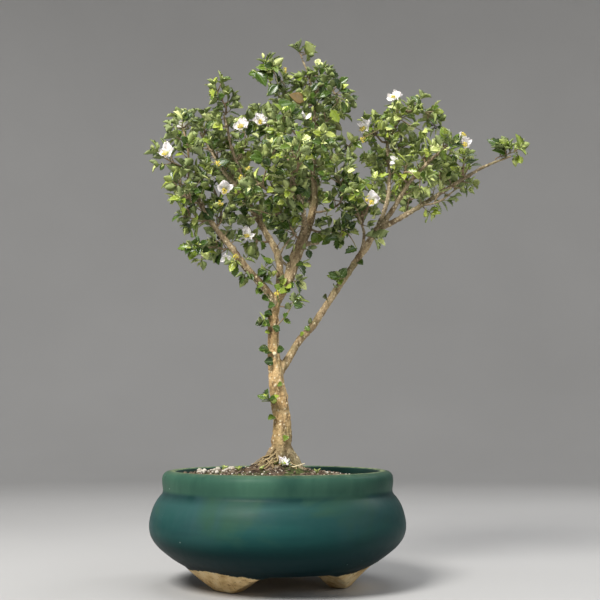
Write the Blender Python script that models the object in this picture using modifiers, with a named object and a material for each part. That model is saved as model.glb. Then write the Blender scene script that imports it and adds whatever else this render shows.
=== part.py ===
"""Dwarf holly bonsai in its glazed three-footed pot.

Every size below is in millimetres, measured from the ground under the pot's axis:
+X is the side that the long right-hand limb reaches to, -Y is the front, +Z is up.
Meshes are made in metres, and the finished tree is moved so that its box stands
centred on the origin.
"""

from dataclasses import dataclass, field
from math import asin, atan2, copysign, cos, degrees, hypot, pi, radians, sin, sqrt
from random import Random

import bmesh
import bpy
from mathutils import Matrix, Vector
from mathutils.bvhtree import BVHTree

MM = 0.001
CLEARANCE = 0.3
MERGE_DISTANCE = 0.00001

# Pot
POT_STEPS = 42
BELLY_RADIUS = 99.6
MOUTH_RADIUS = 76.0
RIM_HEIGHT = 87.6
FLOOR_HEIGHT = 25.5
UNDERSIDE_HEIGHT = 16.5
DRAIN_RADIUS = 9.5
FOOT_AZIMUTHS = (-44.5, 75.5, 195.5)
# How high the foot ring stands off the ground, by degrees from the middle of the nearest foot
FOOT_SIDE = [(0.0, 0.0), (9.5, 0.0), (17.0, 4.2), (26.0, 9.0), (34.0, 12.8), (42.0, 15.2), (60.0, 15.5)]

# Outer side of the pot from the crest of the lip down to the edge of its underside
POT_OUTSIDE = [
    (82.0, RIM_HEIGHT),
    (86.6, 86.9),
    (89.4, 84.0),
    (89.9, 79.0),
    (89.2, 73.0),
    (89.6, 70.6),
    (93.6, 65.6),
    (97.2, 58.6),
    (BELLY_RADIUS, 48.0),
    (98.4, 39.0),
    (93.5, 31.5),
    (86.0, 25.0),
    (79.0, 20.0),
    (73.0, UNDERSIDE_HEIGHT),
]
# The foot ring, down its outer side and up its inner side
FOOT_RING = [(65.5, 9.6), (58.5, 2.0), (56.0, 0.0), (45.0, 0.0), (42.5, 2.5), (41.0, UNDERSIDE_HEIGHT - 1.0)]
# Inner side of the pot from its floor up to the crest of the lip
POT_INSIDE = [
    (62.0, FLOOR_HEIGHT),
    (74.0, 29.0),
    (84.0, 36.5),
    (89.4, 47.0),
    (88.0, 57.0),
    (83.0, 65.0),
    (78.0, 71.0),
    (MOUTH_RADIUS, 77.0),
    (76.4, 84.0),
    (78.6, 86.8),
]

# Soil, from its crown at the trunk out to the pot's wall
SOIL_TOP = [(0.0, 93.0), (10.0, 92.4), (17.0, 90.6), (26.0, 87.6), (42.0, 85.8), (MOUTH_RADIUS - 0.4, 83.4)]
SOIL_EDGE_DEPTH = 2.0
SOIL_FOOT_RADIUS = 60.0
SCREEN_SIDE = 30.0
SCREEN_HOLLOW_RADIUS = 22.5
SCREEN_CELLS = 4
SCREEN_THICKNESS = 1.4

# Limbs: x, y, z and radius along each, thick end first
LIMBS = {
    "bole": [
        (3, 0, 96, 5.6),
        (3, 0, 103, 7.0),
        (3, 0, 111, 7.7),
        (3, 0, 127, 6.9),
        (1, 0, 142, 6.5),
        (-1, 0, 154, 6.0),
        (-2, 0, 166, 5.8),
        (-4, 0, 182, 4.5),
        (-4, 0, 198, 4.1),
        (-4, 0, 212, 4.3),
        (-2, 0, 224, 4.0),
    ],
    "right": [
        (-1, 0, 160, 3.6),
        (8, 2, 175, 3.1),
        (17, 4, 190, 2.9),
        (27, 6, 201, 2.9),
        (37, 8, 216, 2.8),
        (54, 11, 242, 2.7),
        (68, 12, 262, 2.6),
        (81, 14, 283, 2.5),
    ],
    "right_up": [
        (80, 14, 281, 2.0),
        (89, 24, 305, 1.7),
        (92, 31, 330, 1.5),
        (91, 36, 359, 1.3),
        (98, 34, 373, 1.2),
        (106, 30, 386, 0.9),
    ],
    "right_mid": [
        (80, 14, 281, 2.1),
        (92, 6, 295, 2.0),
        (103, -4, 313, 1.7),
        (113, -12, 324, 1.5),
        (131, -30, 339, 1.0),
    ],
    "right_out": [
        (78, 13, 279, 2.2),
        (98, 8, 289, 2.1),
        (124, 0, 304, 1.8),
        (146, -8, 317, 1.5),
        (164, -12, 327, 1.2),
        (185, -15, 335, 0.9),
    ],
    "right_twig": [(67, 12, 262, 1.5), (69, 8, 277, 1.2), (62, -6, 295, 1.0), (58, -16, 308, 0.8)],
    "central": [
        (-3, 0, 218, 3.8),
        (2, 1, 227, 4.0),
        (9, 3, 242, 4.2),
        (12, 4, 253, 4.2),
        (19, 6, 271, 3.9),
        (28, 9, 296, 2.9),
        (29, 10, 313, 2.4),
        (27, 9, 342, 1.9),
        (29, 6, 379, 1.5),
        (24, 2, 407, 1.0),
        (19, 0, 419, 0.8),
    ],
    "front": [(21, 7, 276, 2.4), (20, -12, 290, 2.1), (15, -32, 302, 1.7), (10, -52, 313, 1.2)],
    "back": [(28, 9, 295, 2.3), (26, 28, 314, 2.0), (21, 50, 331, 1.6), (16, 66, 343, 1.1)],
    "second": [
        (1, 1, 226, 3.0),
        (0, 14, 257, 2.9),
        (-10, 22, 278, 2.6),
        (-25, 31, 304, 2.2),
        (-36, 36, 321, 1.9),
        (-47, 40, 335, 1.7),
        (-63, 44, 362, 1.3),
        (-68, 44, 370, 1.0),
    ],
    "column": [(-27, 32, 307, 1.7), (-33, 26, 333, 1.4), (-39, 22, 349, 1.2), (-46, 16, 378, 0.9)],
    "left": [
        (-3, 0, 220, 3.4),
        (-12, -3, 232, 3.0),
        (-26, -9, 247, 2.8),
        (-38, -14, 263, 2.5),
        (-49, -18, 276, 2.2),
        (-62, -22, 297, 1.8),
        (-69, -26, 315, 1.4),
        (-70, -28, 325, 1.0),
    ],
}
LIMB_SPACING = 11.0
THIN_LIMB = 2.4

ROOTS = [
    [(1, 0, 106, 4.6), (-7, -3, 98, 3.7), (-13, -6, 90, 3.1), (-20, -9, 84, 2.4), (-29, -12, 77, 1.6)],
    [(2, 2, 104, 4.2), (-5, 6, 96, 3.3), (-11, 11, 88, 2.7), (-19, 17, 82, 2.0), (-27, 23, 76, 1.4)],
    [(5, 0, 107, 4.6), (11, -2, 99, 3.7), (16, -4, 91, 3.1), (21, -6, 85, 2.5), (29, -9, 77, 1.6)],
    [(5, 2, 104, 4.2), (11, 8, 94, 3.0), (17, 14, 86, 2.3), (25, 21, 77, 1.5)],
    [(3, 3, 102, 4.6), (2, 11, 93, 3.4), (-1, 19, 85, 2.4), (-4, 28, 77, 1.5)],
    [(0, -2, 103, 3.8), (-5, -9, 94, 2.6), (-9, -16, 87, 2.0), (-13, -24, 79, 1.2)],
]
ROOT_SPACING = 7.0
POCKET_MARGIN = 0.45
POCKET_END = 0.6

# Foliage: the limb that carries each spray, and the pads of leaves along it (x, y, z, radius)
SPRAYS = [
    ("left", [(-88, -34, 329, 12)]),
    ("left", [(-70, -40, 339, 11), (-76, -30, 357, 13)]),
    ("left", [(-71, -46, 295, 12), (-76, -34, 311, 14)]),
    ("left", [(-68, -26, 283, 14)]),
    ("left", [(-48, -10, 263, 11), (-62, -36, 256, 13)]),
    ("left", [(-45, -6, 292, 13), (-55, -20, 318, 13)]),
    ("second", [(-64, 40, 377, 14), (-80, 52, 379, 12)]),
    ("second", [(-54, 20, 347, 15)]),
    ("second", [(-41, 56, 332, 16), (-39, 74, 351, 16)]),
    ("second", [(-27, 8, 307, 15)]),
    ("second", [(-15, 46, 300, 16)]),
    ("second", [(-22, 12, 274, 11)]),
    ("column", [(-44, 18, 384, 8), (-51, 14, 396, 11)]),
    ("column", [(-27, 10, 353, 16)]),
    ("central", [(-1, 12, 391, 15), (-9, -6, 407, 14)]),
    ("central", [(6, -34, 355, 16), (-13, -12, 364, 14)]),
    ("central", [(35, 2, 403, 14), (48, -14, 383, 11)]),
    ("central", [(44, 20, 376, 12)]),
    ("central", [(17, -2, 424, 5)]),
    ("central", [(34, -30, 342, 15)]),
    ("front", [(16, -72, 324, 17)]),
    ("front", [(-11, -38, 301, 16), (-6, -64, 321, 16)]),
    ("front", [(11, -44, 300, 16)]),
    ("central", [(3, -18, 289, 14)]),
    ("central", [(54, 14, 347, 15)]),
    ("central", [(51, -12, 298, 13), (47, -26, 316, 16)]),
    ("central", [(50, 10, 278, 11)]),
    ("back", [(17, 78, 350, 17)]),
    ("back", [(35, 70, 386, 16)]),
    ("back", [(-7, 74, 369, 17)]),
    ("right_up", [(77, 30, 370, 12)]),
    ("right_up", [(98, 26, 378, 13)]),
    ("right_up", [(116, 38, 390, 12), (130, 44, 383, 9)]),
    ("right_up", [(82, 62, 350, 15)]),
    ("right_up", [(107, 50, 360, 14)]),
    ("right_mid", [(96, -16, 325, 14), (110, -34, 313, 13)]),
    ("right_mid", [(116, -10, 344, 12), (131, -38, 337, 12)]),
    ("right_out", [(132, 14, 329, 14)]),
    ("right_out", [(146, -22, 327, 12)]),
    ("right_out", [(121, -10, 298, 12), (143, 2, 314, 11)]),
    ("right_out", [(107, 24, 307, 12)]),
    ("right_out", [(176, -14, 334, 7), (187, -15, 338, 9)]),
    ("right_twig", [(67, 4, 292, 11), (60, -22, 306, 14)]),
    ("right_twig", [(79, -10, 307, 12)]),
    ("bole", [(-6, -9, 141, 4)]),
    ("bole", [(11, -3, 219, 6)]),
]

# Flowers: the middle of each, and the way that it faces
FLOWERS = [
    ((-84, -44, 330), (-0.4, -0.9, 0.2)),
    ((-28, -24, 356), (-0.2, -0.9, 0.4)),
    ((-14, -27, 359), (0.3, -0.9, 0.3)),
    ((-41, -34, 304), (0.3, -0.9, -0.1)),
    ((-24, -8, 271), (0.0, -0.9, 0.5)),
    ((71, 2, 362), (-0.6, -0.7, 0.2)),
    ((96, 8, 388), (-0.3, -0.6, 0.7)),
    ((144, -38, 338), (0.3, -0.9, 0.3)),
    ((74, -30, 296), (-0.1, -0.9, -0.2)),
]
FALLEN_FLOWER = ((7.5, -15.0, 92.0), (0.1, -0.55, 0.85))
PETALS = 5
PETAL_LENGTH = 5.6
PETAL_WIDEST_AT = 0.6
PETAL_HALF_WIDTH = 0.4
PETAL_HALF_THICKNESS = 0.25
PETAL_RISE = 0.32
CALYX_RADIUS = 1.0
CALYX_DEPTH = 1.6
STAMEN_HEIGHT = 0.6
PEDICEL_RADIUS = 0.45
FLOWER_ROOM = (-2.6, 2.2, PETAL_LENGTH + 1.6)
STALK_START = 2.0
STALK_LEAST = 4.0
STALK_SLANT = 0.6
STALK_TRIES = 400

# Twigs: half the side of a twig's square section is a share of its radius
TWIG_RADIUS = 1.05
SIDE_TWIG_RADIUS = 0.6
TWIG_SIDE = 0.8
TWIG_CORNER = TWIG_SIDE * sqrt(2)
TWIG_START = 1.2
NODE_LENGTH = 1.1
BUD_LENGTH = 2.4
INTERNODE = 10.5
SHARPEST_TURN = radians(50)
EASING_ROUNDS = 12
MAIN_TWIG_TRIES = 60
SIDE_TWIG_TRIES = 8
SPROUT_REACH = 7

# Leaves: widths are shares of a leaf's length, and a rise is an angle from the twig's side
LEAF_LENGTH = (7.6, 11.0)
LEAF_HALF_WIDTH = 0.36
LEAF_HALF_THICKNESS = 0.3
LEAF_RISES = (20, 51)
LEAST_OUTWARD = 0.45
LACK_MADE_UP = 1.3
PETIOLE_LENGTH = 1.3
PETIOLE_RADIUS = 0.2
LEAF_MARGIN = 0.15
CORNERS = [(1, 1), (-1, 1), (-1, -1), (1, -1)]

# Shells that keep one growth clear of another, looked up in cells of space
TWIG_SHELL = 1.25
SHELL_MARGIN = 0.3
CELL = 12.0

UP = Vector((0, 0, 1))


def blend(a, b, c, d, t):
    """A Catmull-Rom curve's value between b and c, with a before them and d after them."""
    bend = 2 * a - 5 * b + 4 * c - d
    twist = 3 * (b - c) + d - a
    return b + 0.5 * t * (c - a + t * (bend + t * twist))


def smooth(route, spacing):
    """Rows about `spacing` apart on a smooth curve through the rows of a route."""
    rows = [tuple(map(float, row)) for row in route]
    ends = [tuple(2 * a - b for a, b in zip(rows[0], rows[1])), *rows]
    ends.append(tuple(2 * a - b for a, b in zip(rows[-1], rows[-2])))
    out = []
    for before, start, end, after in zip(ends, ends[1:], ends[2:], ends[3:]):
        length = hypot(*(b - a for a, b in zip(start[:3], end[:3])))
        steps = max(1, round(length / spacing))
        for step in range(steps):
            values = zip(before, start, end, after)
            out.append(tuple(blend(a, b, c, d, step / steps) for a, b, c, d in values))
    return [*out, rows[-1]]


# Materials


def principled(name, colour, roughness):
    material = bpy.data.materials.new(name)
    material.use_nodes = True
    shader = material.node_tree.nodes["Principled BSDF"]
    shader.inputs["Base Color"].default_value = (*colour, 1)
    shader.inputs["Roughness"].default_value = roughness
    material.diffuse_color = (*colour, 1)
    return material


# Objects


def place(name, mesh, material, collection, parent=None):
    obj = bpy.data.objects.new(name, mesh)
    mesh.materials.clear()
    mesh.materials.append(material)
    collection.objects.link(obj)
    obj.parent = parent
    return obj


def mesh_of(bm, name):
    """A mesh in metres from one that was shaped in millimetres."""
    bmesh.ops.scale(bm, vec=(MM, MM, MM), verts=bm.verts)
    mesh = bpy.data.meshes.new(name)
    bm.to_mesh(mesh)
    bm.free()
    return mesh


def rounded(mesh, angle=50):
    mesh.shade_smooth()
    mesh.set_sharp_from_angle(angle=radians(angle))


def turned(name, profile, material, collection, parent, closed):
    """A profile of radii and heights turned about Z with a Screw modifier, from the first foot round."""
    bm = bmesh.new()
    azimuth = radians(FOOT_AZIMUTHS[0])
    verts = [bm.verts.new((r * sin(azimuth), -r * cos(azimuth), z)) for r, z in profile]
    for a, b in zip(verts, verts[1:]):
        bm.edges.new((a, b))
    if closed:
        bm.edges.new((verts[-1], verts[0]))
    obj = place(name, mesh_of(bm, name), material, collection, parent)
    screw = obj.modifiers.new("turn", "SCREW")
    screw.steps = POT_STEPS
    screw.render_steps = POT_STEPS
    screw.use_merge_vertices = True
    screw.merge_threshold = MERGE_DISTANCE
    return obj


def tube_mesh(name, rows, sides_level, grow=0.0):
    """A closed tube along rows of x, y, z and radius, made from a bevelled curve."""
    curve = bpy.data.curves.new(name, "CURVE")
    curve.dimensions = "3D"
    curve.bevel_depth = MM
    curve.bevel_resolution = sides_level
    curve.use_fill_caps = True
    spline = curve.splines.new("POLY")
    spline.points.add(len(rows) - 1)
    for point, (x, y, z, radius) in zip(spline.points, rows):
        point.co = (x * MM, y * MM, z * MM, 1)
        point.radius = radius + grow
    guide = bpy.data.objects.new(name, curve)
    bpy.context.scene.collection.objects.link(guide)
    graph = bpy.context.evaluated_depsgraph_get()
    mesh = bpy.data.meshes.new_from_object(guide.evaluated_get(graph))
    bpy.data.objects.remove(guide)
    bpy.data.curves.remove(curve)
    bm = bmesh.new()
    bm.from_mesh(mesh)
    bmesh.ops.remove_doubles(bm, verts=bm.verts, dist=MERGE_DISTANCE)
    bmesh.ops.recalc_face_normals(bm, faces=bm.faces)
    bm.to_mesh(mesh)
    bm.free()
    return mesh


def combine(obj, operation, cutter):
    boolean = obj.modifiers.new(cutter.name, "BOOLEAN")
    boolean.operation = operation
    boolean.solver = "EXACT"
    boolean.object = cutter


def helper(name, mesh, material, collection, parent):
    """A cutter, or a piece that a Boolean union takes in."""
    obj = place(name, mesh, material, collection, parent)
    obj.hide_render = True
    obj.display_type = "WIRE"
    return obj


# Pot, soil and drain screen


def foot_ring_height(x, y):
    """How high the foot ring stands off the ground on this side of the pot."""
    azimuth = degrees(atan2(x, -y))
    away = min(abs((azimuth - foot + 180) % 360 - 180) for foot in FOOT_AZIMUTHS)
    for (near, low), (far, high) in zip(FOOT_SIDE, FOOT_SIDE[1:]):
        if away <= far:
            return low + (high - low) * (away - near) / (far - near)
    return FOOT_SIDE[-1][1]


def make_pot(material, parts, root):
    outside = smooth(POT_OUTSIDE, 7.5)
    floor = [(DRAIN_RADIUS, UNDERSIDE_HEIGHT - 1.0), (DRAIN_RADIUS, FLOOR_HEIGHT)]
    inside = smooth(POT_INSIDE, 10.0)
    pot = turned("pot", outside + FOOT_RING + floor + inside, material, parts, root, closed=True)
    graph = bpy.context.evaluated_depsgraph_get()
    mesh = bpy.data.meshes.new_from_object(pot.evaluated_get(graph))
    pot.modifiers.clear()
    pot.data = mesh
    for vert in mesh.vertices:
        vert.co.z = max(vert.co.z, foot_ring_height(vert.co.x, vert.co.y) * MM)
    rounded(mesh)
    return pot


def make_soil(material, parts, cutters, root):
    edge = SOIL_TOP[-1][1] - SOIL_EDGE_DEPTH
    inside = reversed(smooth(POT_INSIDE[1:], 12.0))
    wall = [(r - CLEARANCE, z) for r, z in inside if z < edge]
    floor = FLOOR_HEIGHT + CLEARANCE
    hollow_top = floor + SCREEN_THICKNESS + 2 * CLEARANCE
    bottom = [
        (SOIL_FOOT_RADIUS, floor),
        (SCREEN_HOLLOW_RADIUS, floor),
        (SCREEN_HOLLOW_RADIUS, hollow_top),
        (0.0, hollow_top),
    ]
    soil = turned("soil", smooth(SOIL_TOP, 14.0) + wall + bottom, material, parts, root, closed=False)
    for index, route in enumerate(ROOTS):
        rows = extended(smooth(route, ROOT_SPACING), POCKET_END)
        name = f"root_pocket_{index + 1}"
        pocket = helper(name, tube_mesh(name, rows, 2, POCKET_MARGIN), material, cutters, root)
        combine(soil, "DIFFERENCE", pocket)
    rounded(soil.data, 40)
    return soil


def extended(rows, length):
    """The rows with the last one moved on by a length."""
    *_, (ax, ay, az, _), (bx, by, bz, radius) = rows
    step = Vector((bx - ax, by - ay, bz - az)).normalized() * length
    return [*rows[:-1], (bx + step.x, by + step.y, bz + step.z, radius)]


def make_screen(material, parts, root):
    bm = bmesh.new()
    bmesh.ops.create_grid(bm, x_segments=SCREEN_CELLS, y_segments=SCREEN_CELLS, size=SCREEN_SIDE / 2)
    middle = FLOOR_HEIGHT + CLEARANCE + SCREEN_THICKNESS / 2
    bmesh.ops.translate(bm, vec=(0, 0, middle), verts=bm.verts)
    screen = place("drain_screen", mesh_of(bm, "drain_screen"), material, parts, root)
    lattice = screen.modifiers.new("strands", "WIREFRAME")
    lattice.thickness = SCREEN_THICKNESS * MM
    lattice.use_boundary = True
    lattice.use_replace = True
    return screen


# Trunk, limbs and roots


def limb_rows():
    return {name: smooth(route, LIMB_SPACING) for name, route in LIMBS.items()}


def make_trunk(limbs, material, parts, cutters, root):
    bole = tube_mesh("trunk", limbs["bole"], 3)
    trunk = place("trunk", bole, material, parts, root)
    for name, rows in limbs.items():
        if name != "bole":
            level = 1 if rows[0][3] < THIN_LIMB else 2
            piece = helper(f"limb_{name}", tube_mesh(name, rows, level), material, cutters, root)
            combine(trunk, "UNION", piece)
    for index, route in enumerate(ROOTS):
        name = f"root_{index + 1}"
        piece = helper(name, tube_mesh(name, smooth(route, ROOT_SPACING), 2), material, cutters, root)
        combine(trunk, "UNION", piece)
    rounded(trunk.data)
    return trunk


# Room: the shells of everything placed so far, so that nothing grows through anything else


def prism(start, end, radius, sides=4):
    axis = (end - start).normalized()
    across = axis.orthogonal().normalized()
    turn = [across * (radius * cos(2 * pi * k / sides)) for k in range(sides)]
    side = axis.cross(across)
    ring = [turn[k] + side * (radius * sin(2 * pi * k / sides)) for k in range(sides)]
    points = [start + r for r in ring] + [end + r for r in ring]
    walls = [(k, (k + 1) % sides, sides + (k + 1) % sides, sides + k) for k in range(sides)]
    caps = [tuple(range(sides)), tuple(range(sides, 2 * sides))]
    return points, walls + caps


class Room:
    """The shells in place, each listed in every cell that its box reaches."""

    def __init__(self):
        self.cells = {}

    def near(self, points):
        low = [min(p[i] for p in points) for i in range(3)]
        high = [max(p[i] for p in points) for i in range(3)]
        spans = [range(int(a // CELL), int(b // CELL) + 1) for a, b in zip(low, high)]
        return [(i, j, k) for i in spans[0] for j in spans[1] for k in spans[2]]

    def take(self, shell, owner):
        entry = (owner, BVHTree.FromPolygons(*shell))
        for cell in self.near(shell[0]):
            self.cells.setdefault(cell, []).append(entry)

    def free(self, shell, owner=None):
        tree = BVHTree.FromPolygons(*shell)
        seen = set()
        for cell in self.near(shell[0]):
            for entry in self.cells.get(cell, ()):
                if id(entry) in seen or entry[0] is not None and entry[0] is owner:
                    continue
                seen.add(id(entry))
                if tree.overlap(entry[1]):
                    return False
        return True


# Plan of the foliage


@dataclass(eq=False)
class Leaf:
    """A leaf from its base, with unit vectors along it, across its blade and through it."""

    base: Vector
    along: Vector
    wide: Vector
    thick: Vector
    length: float

    def body(self, start=PETIOLE_LENGTH, margin=0.0):
        """The leaf as it is built beyond its start, with a margin round it."""
        rings = [
            (start, PETIOLE_RADIUS, PETIOLE_RADIUS),
            (0.5 * self.length, LEAF_HALF_WIDTH * self.length, LEAF_HALF_THICKNESS),
        ]
        points = []
        for at, half_wide, half_thick in rings:
            centre = self.base + self.along * at
            wide = self.wide * (half_wide + margin)
            thick = self.thick * (half_thick + margin)
            points += [centre + wide * a + thick * b for a, b in CORNERS]
        points.append(self.base + self.along * (self.length + margin))
        faces = [(3, 2, 1, 0)]
        for k in range(4):
            after = (k + 1) % 4
            faces += [(k, after, 4 + after, 4 + k), (4 + k, 4 + after, 8)]
        return points, faces

    def shell(self):
        return self.body(0.5 * PETIOLE_LENGTH, LEAF_MARGIN)


@dataclass(eq=False)
class Twig:
    """A twig: the nodes of its path, which of them bear leaves or twigs, and what grows on their sides."""

    path: list
    radius: float
    bears: list
    across: Vector = None
    growth: dict = field(default_factory=dict)

    def frames(self):
        """The direction, and the two directions across, at each point of the path."""
        out = []
        across = self.across
        for index, point in enumerate(self.path):
            last = min(index, len(self.path) - 2)
            along = (self.path[last + 1] - self.path[last]).normalized()
            if index and index < len(self.path) - 1:
                along = (along + (point - self.path[index - 1]).normalized()).normalized()
            if across is None:
                across = along.cross(UP if abs(along.z) < 0.9 else Vector((1, 0, 0)))
            across = (across - along * across.dot(along)).normalized()
            out.append((along, across, along.cross(across)))
        return out

    def bud(self):
        """The tip of the bud beyond the last node."""
        heading = (self.path[-1] - self.path[-2]).normalized()
        return self.path[-1] + heading * (NODE_LENGTH + BUD_LENGTH * self.radius)

    def shells(self, skip=1.0):
        start = self.path[0] + (self.path[1] - self.path[0]).normalized() * skip
        ends = [start, *self.path[1:], self.bud()]
        radius = TWIG_SHELL * self.radius + SHELL_MARGIN
        return [prism(a, b, radius, 6) for a, b in zip(ends, ends[1:])]

    def meets(self, shell):
        """Whether a shell runs into the twig's own stem or leaves."""
        tree = BVHTree.FromPolygons(*shell)
        ends = [*self.path, self.bud()]
        bodies = [prism(a, b, self.radius * TWIG_CORNER) for a, b in zip(ends, ends[1:])]
        bodies += [grown.body() for grown in self.growth.values() if isinstance(grown, Leaf)]
        return any(tree.overlap(BVHTree.FromPolygons(*body)) for body in bodies)


def sides_of(frame):
    _, across, other = frame
    return [across, other, -across, -other]


def side_of_node(twig, node, side):
    """The way along the twig and out of one side of a node, and the middle of that side."""
    frame = twig.frames()[node]
    forward = frame[0]
    outward = sides_of(frame)[side]
    middle = twig.path[node] + forward * (NODE_LENGTH / 2) + outward * (twig.radius * TWIG_SIDE)
    return forward, outward, middle


def plan_leaf(rng, base, outward, forward, size, rise):
    tilt = radians(rise + rng.uniform(-12, 12))
    wobble = Vector([rng.uniform(-0.16, 0.16) for _ in range(3)])
    along = (outward * cos(tilt) + forward * sin(tilt) + UP * 0.12 + wobble).normalized()
    lack = max(0.0, LEAST_OUTWARD - along.dot(outward))
    along = (along + outward * (LACK_MADE_UP * lack)).normalized()
    wide = forward.cross(outward)
    wide = (wide - along * wide.dot(along)).normalized()
    wide.rotate(Matrix.Rotation(radians(rng.uniform(-26, 26)), 3, along))
    return Leaf(base, along, wide, along.cross(wide), size)


def grow_leaf(rng, room, twig, node, side):
    """Puts a leaf on one side of a node where there is room for it."""
    forward, outward, base = side_of_node(twig, node, side)
    for scale in (1.0, 0.9, 0.78):
        size = rng.uniform(*LEAF_LENGTH) * scale
        leaf = plan_leaf(rng, base, outward, forward, size, LEAF_RISES[side % 2])
        if room.free(leaf.shell(), twig) and not twig.meets(leaf.body()):
            room.take(leaf.shell(), leaf)
            twig.growth[node, side] = leaf
            return


def nearest_on(rows, target):
    """The nearest point of a limb to a target, with its radius and direction there."""
    best = None
    for (*a, ra), (*b, rb) in zip(rows, rows[1:]):
        a, b = Vector(a), Vector(b)
        t = max(0.0, min(1.0, (target - a).dot(b - a) / (b - a).length_squared))
        point = a.lerp(b, t)
        gap = (target - point).length
        if best is None or gap < best[0]:
            best = (gap, point, ra + (rb - ra) * t, (b - a).normalized())
    return best[1:]


def eased(path):
    """A path with each sharp turn drawn in between its neighbours."""
    path = list(path)
    for _ in range(EASING_ROUNDS):
        for k in range(1, len(path) - 1):
            if (path[k] - path[k - 1]).angle(path[k + 1] - path[k]) > SHARPEST_TURN:
                path[k] = path[k].lerp((path[k - 1] + path[k + 1]) / 2, 0.3)
    return path


def plan_main_twig(rng, room, rows, pads):
    """A twig from its limb through the middle of each pad, clear of what is there already."""
    first = Vector(pads[0][:3])
    reach = pads[0][3]
    for attempt in range(MAIN_TWIG_TRIES):
        slip = 0.15 * attempt
        wander = [Vector([rng.uniform(-slip, slip) for _ in range(3)]) for _ in range(len(pads) + 2)]
        aim = first - UP * (0.7 * reach) + wander[0] * 3
        root, limb_radius, direction = nearest_on(rows, aim)
        out = first - root
        out = (out - direction * out.dot(direction)).normalized()
        start = root + out * (limb_radius + CLEARANCE)
        stops = [Vector(pad[:3]) + move for pad, move in zip(pads, wander[1:])]
        heading = (stops[-1] - (stops[-2] if len(stops) > 1 else start)).normalized()
        stops.append(stops[-1] + (heading + UP * 0.3).normalized() * (0.5 * pads[-1][3]))
        near = max(2.0, min(4.0, 0.4 * (stops[0] - start).length))
        route = [start, start + out * near, *stops]
        path = eased([Vector(row) for row in smooth([tuple(p) for p in route], INTERNODE)])
        radius = TWIG_RADIUS if reach > SPROUT_REACH else SIDE_TWIG_RADIUS
        lean = (path[1] - start).angle(out)
        path[0] = start + out * (TWIG_CORNER * radius * sin(lean))
        bears = [any((p - Vector(pad[:3])).length < 0.8 * pad[3] for pad in pads) for p in path]
        bears[:2] = [False, len(path) == 3]
        bears[-1] = True
        twig = Twig(path, radius, bears)
        if all(room.free(shell) for shell in twig.shells()):
            return twig
    raise ValueError(f"no room for the twig to {pads}")


def plan_side_twig(rng, room, twig, node, side, reach):
    """A short twig on one side of a node, with a cluster of four leaves at its end."""
    forward, outward, base = side_of_node(twig, node, side)
    for _ in range(SIDE_TWIG_TRIES):
        spread = radians(rng.uniform(15, 50))
        wobble = Vector([rng.uniform(-0.2, 0.2) for _ in range(3)])
        along = (outward * cos(spread) + forward * sin(spread) + UP * 0.15 + wobble).normalized()
        length = reach * rng.uniform(0.5, 0.8)
        path = [base, base + along * length]
        side_twig = Twig(path, SIDE_TWIG_RADIUS, [False, True], forward.cross(outward))
        stem = prism(base + along * TWIG_START, side_twig.bud(), TWIG_CORNER * SIDE_TWIG_RADIUS)
        if not twig.meets(stem) and all(room.free(shell, twig) for shell in side_twig.shells()):
            twig.growth[node, side] = side_twig
            for shell in side_twig.shells():
                room.take(shell, side_twig)
            return side_twig
    return None


def take_limbs_and_flowers(room, limbs):
    for rows in limbs.values():
        for (*a, ra), (*b, rb) in zip(rows, rows[1:]):
            room.take(prism(Vector(a), Vector(b), max(ra, rb) + SHELL_MARGIN, 8), None)
    below, above, radius = FLOWER_ROOM
    for middle, facing in FLOWERS:
        axis = Vector(facing).normalized()
        middle = Vector(middle)
        room.take(prism(middle + axis * below, middle + axis * above, radius, 8), None)


def leafy_sides(node, last):
    """The sides of a main twig's node that bear leaves: all at its tip, and two of the others elsewhere."""
    return range(4) if node == last else ((node + 3) % 4, node % 4)


def plan_foliage(limbs):
    """Every spray's twigs and leaves, and each flower's stalk."""
    room = Room()
    take_limbs_and_flowers(room, limbs)
    sprays = []
    for index, (limb, pads) in enumerate(SPRAYS):
        rng = Random(7000 + index)
        main = plan_main_twig(rng, room, limbs[limb], pads)
        for shell in main.shells():
            room.take(shell, main)
        sprays.append((rng, main, pads))
    clusters = []
    for rng, main, pads in sprays:
        for node, point in enumerate(main.path[:-1]):
            reach = min(pads, key=lambda pad: (Vector(pad[:3]) - point).length)[3]
            if main.bears[node] and reach > SPROUT_REACH:
                twig = plan_side_twig(rng, room, main, node, (node + 1) % 4, reach)
                clusters += [(rng, twig)] if twig else []
    stalks = [plan_stalk(room, sprays, limbs, *flower) for flower in FLOWERS]
    for rng, twig in clusters:
        for side in range(4):
            grow_leaf(rng, room, twig, 1, side)
    for rng, main, _ in sprays:
        last = len(main.path) - 1
        for node in range(1, last + 1):
            for side in leafy_sides(node, last):
                if main.bears[node] and (node, side) not in main.growth:
                    grow_leaf(rng, room, main, node, side)
    return [main for _, main, _ in sprays], stalks


def all_segments(sprays, limbs):
    for _, main, _ in sprays:
        twigs = [main, *(t for t in main.growth.values() if isinstance(t, Twig))]
        for twig in twigs:
            for a, b in zip(twig.path, twig.path[1:]):
                yield a, b, twig.radius, twig
    for rows in limbs.values():
        for (*a, ra), (*b, rb) in zip(rows, rows[1:]):
            yield Vector(a), Vector(b), max(ra, rb), None


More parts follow.
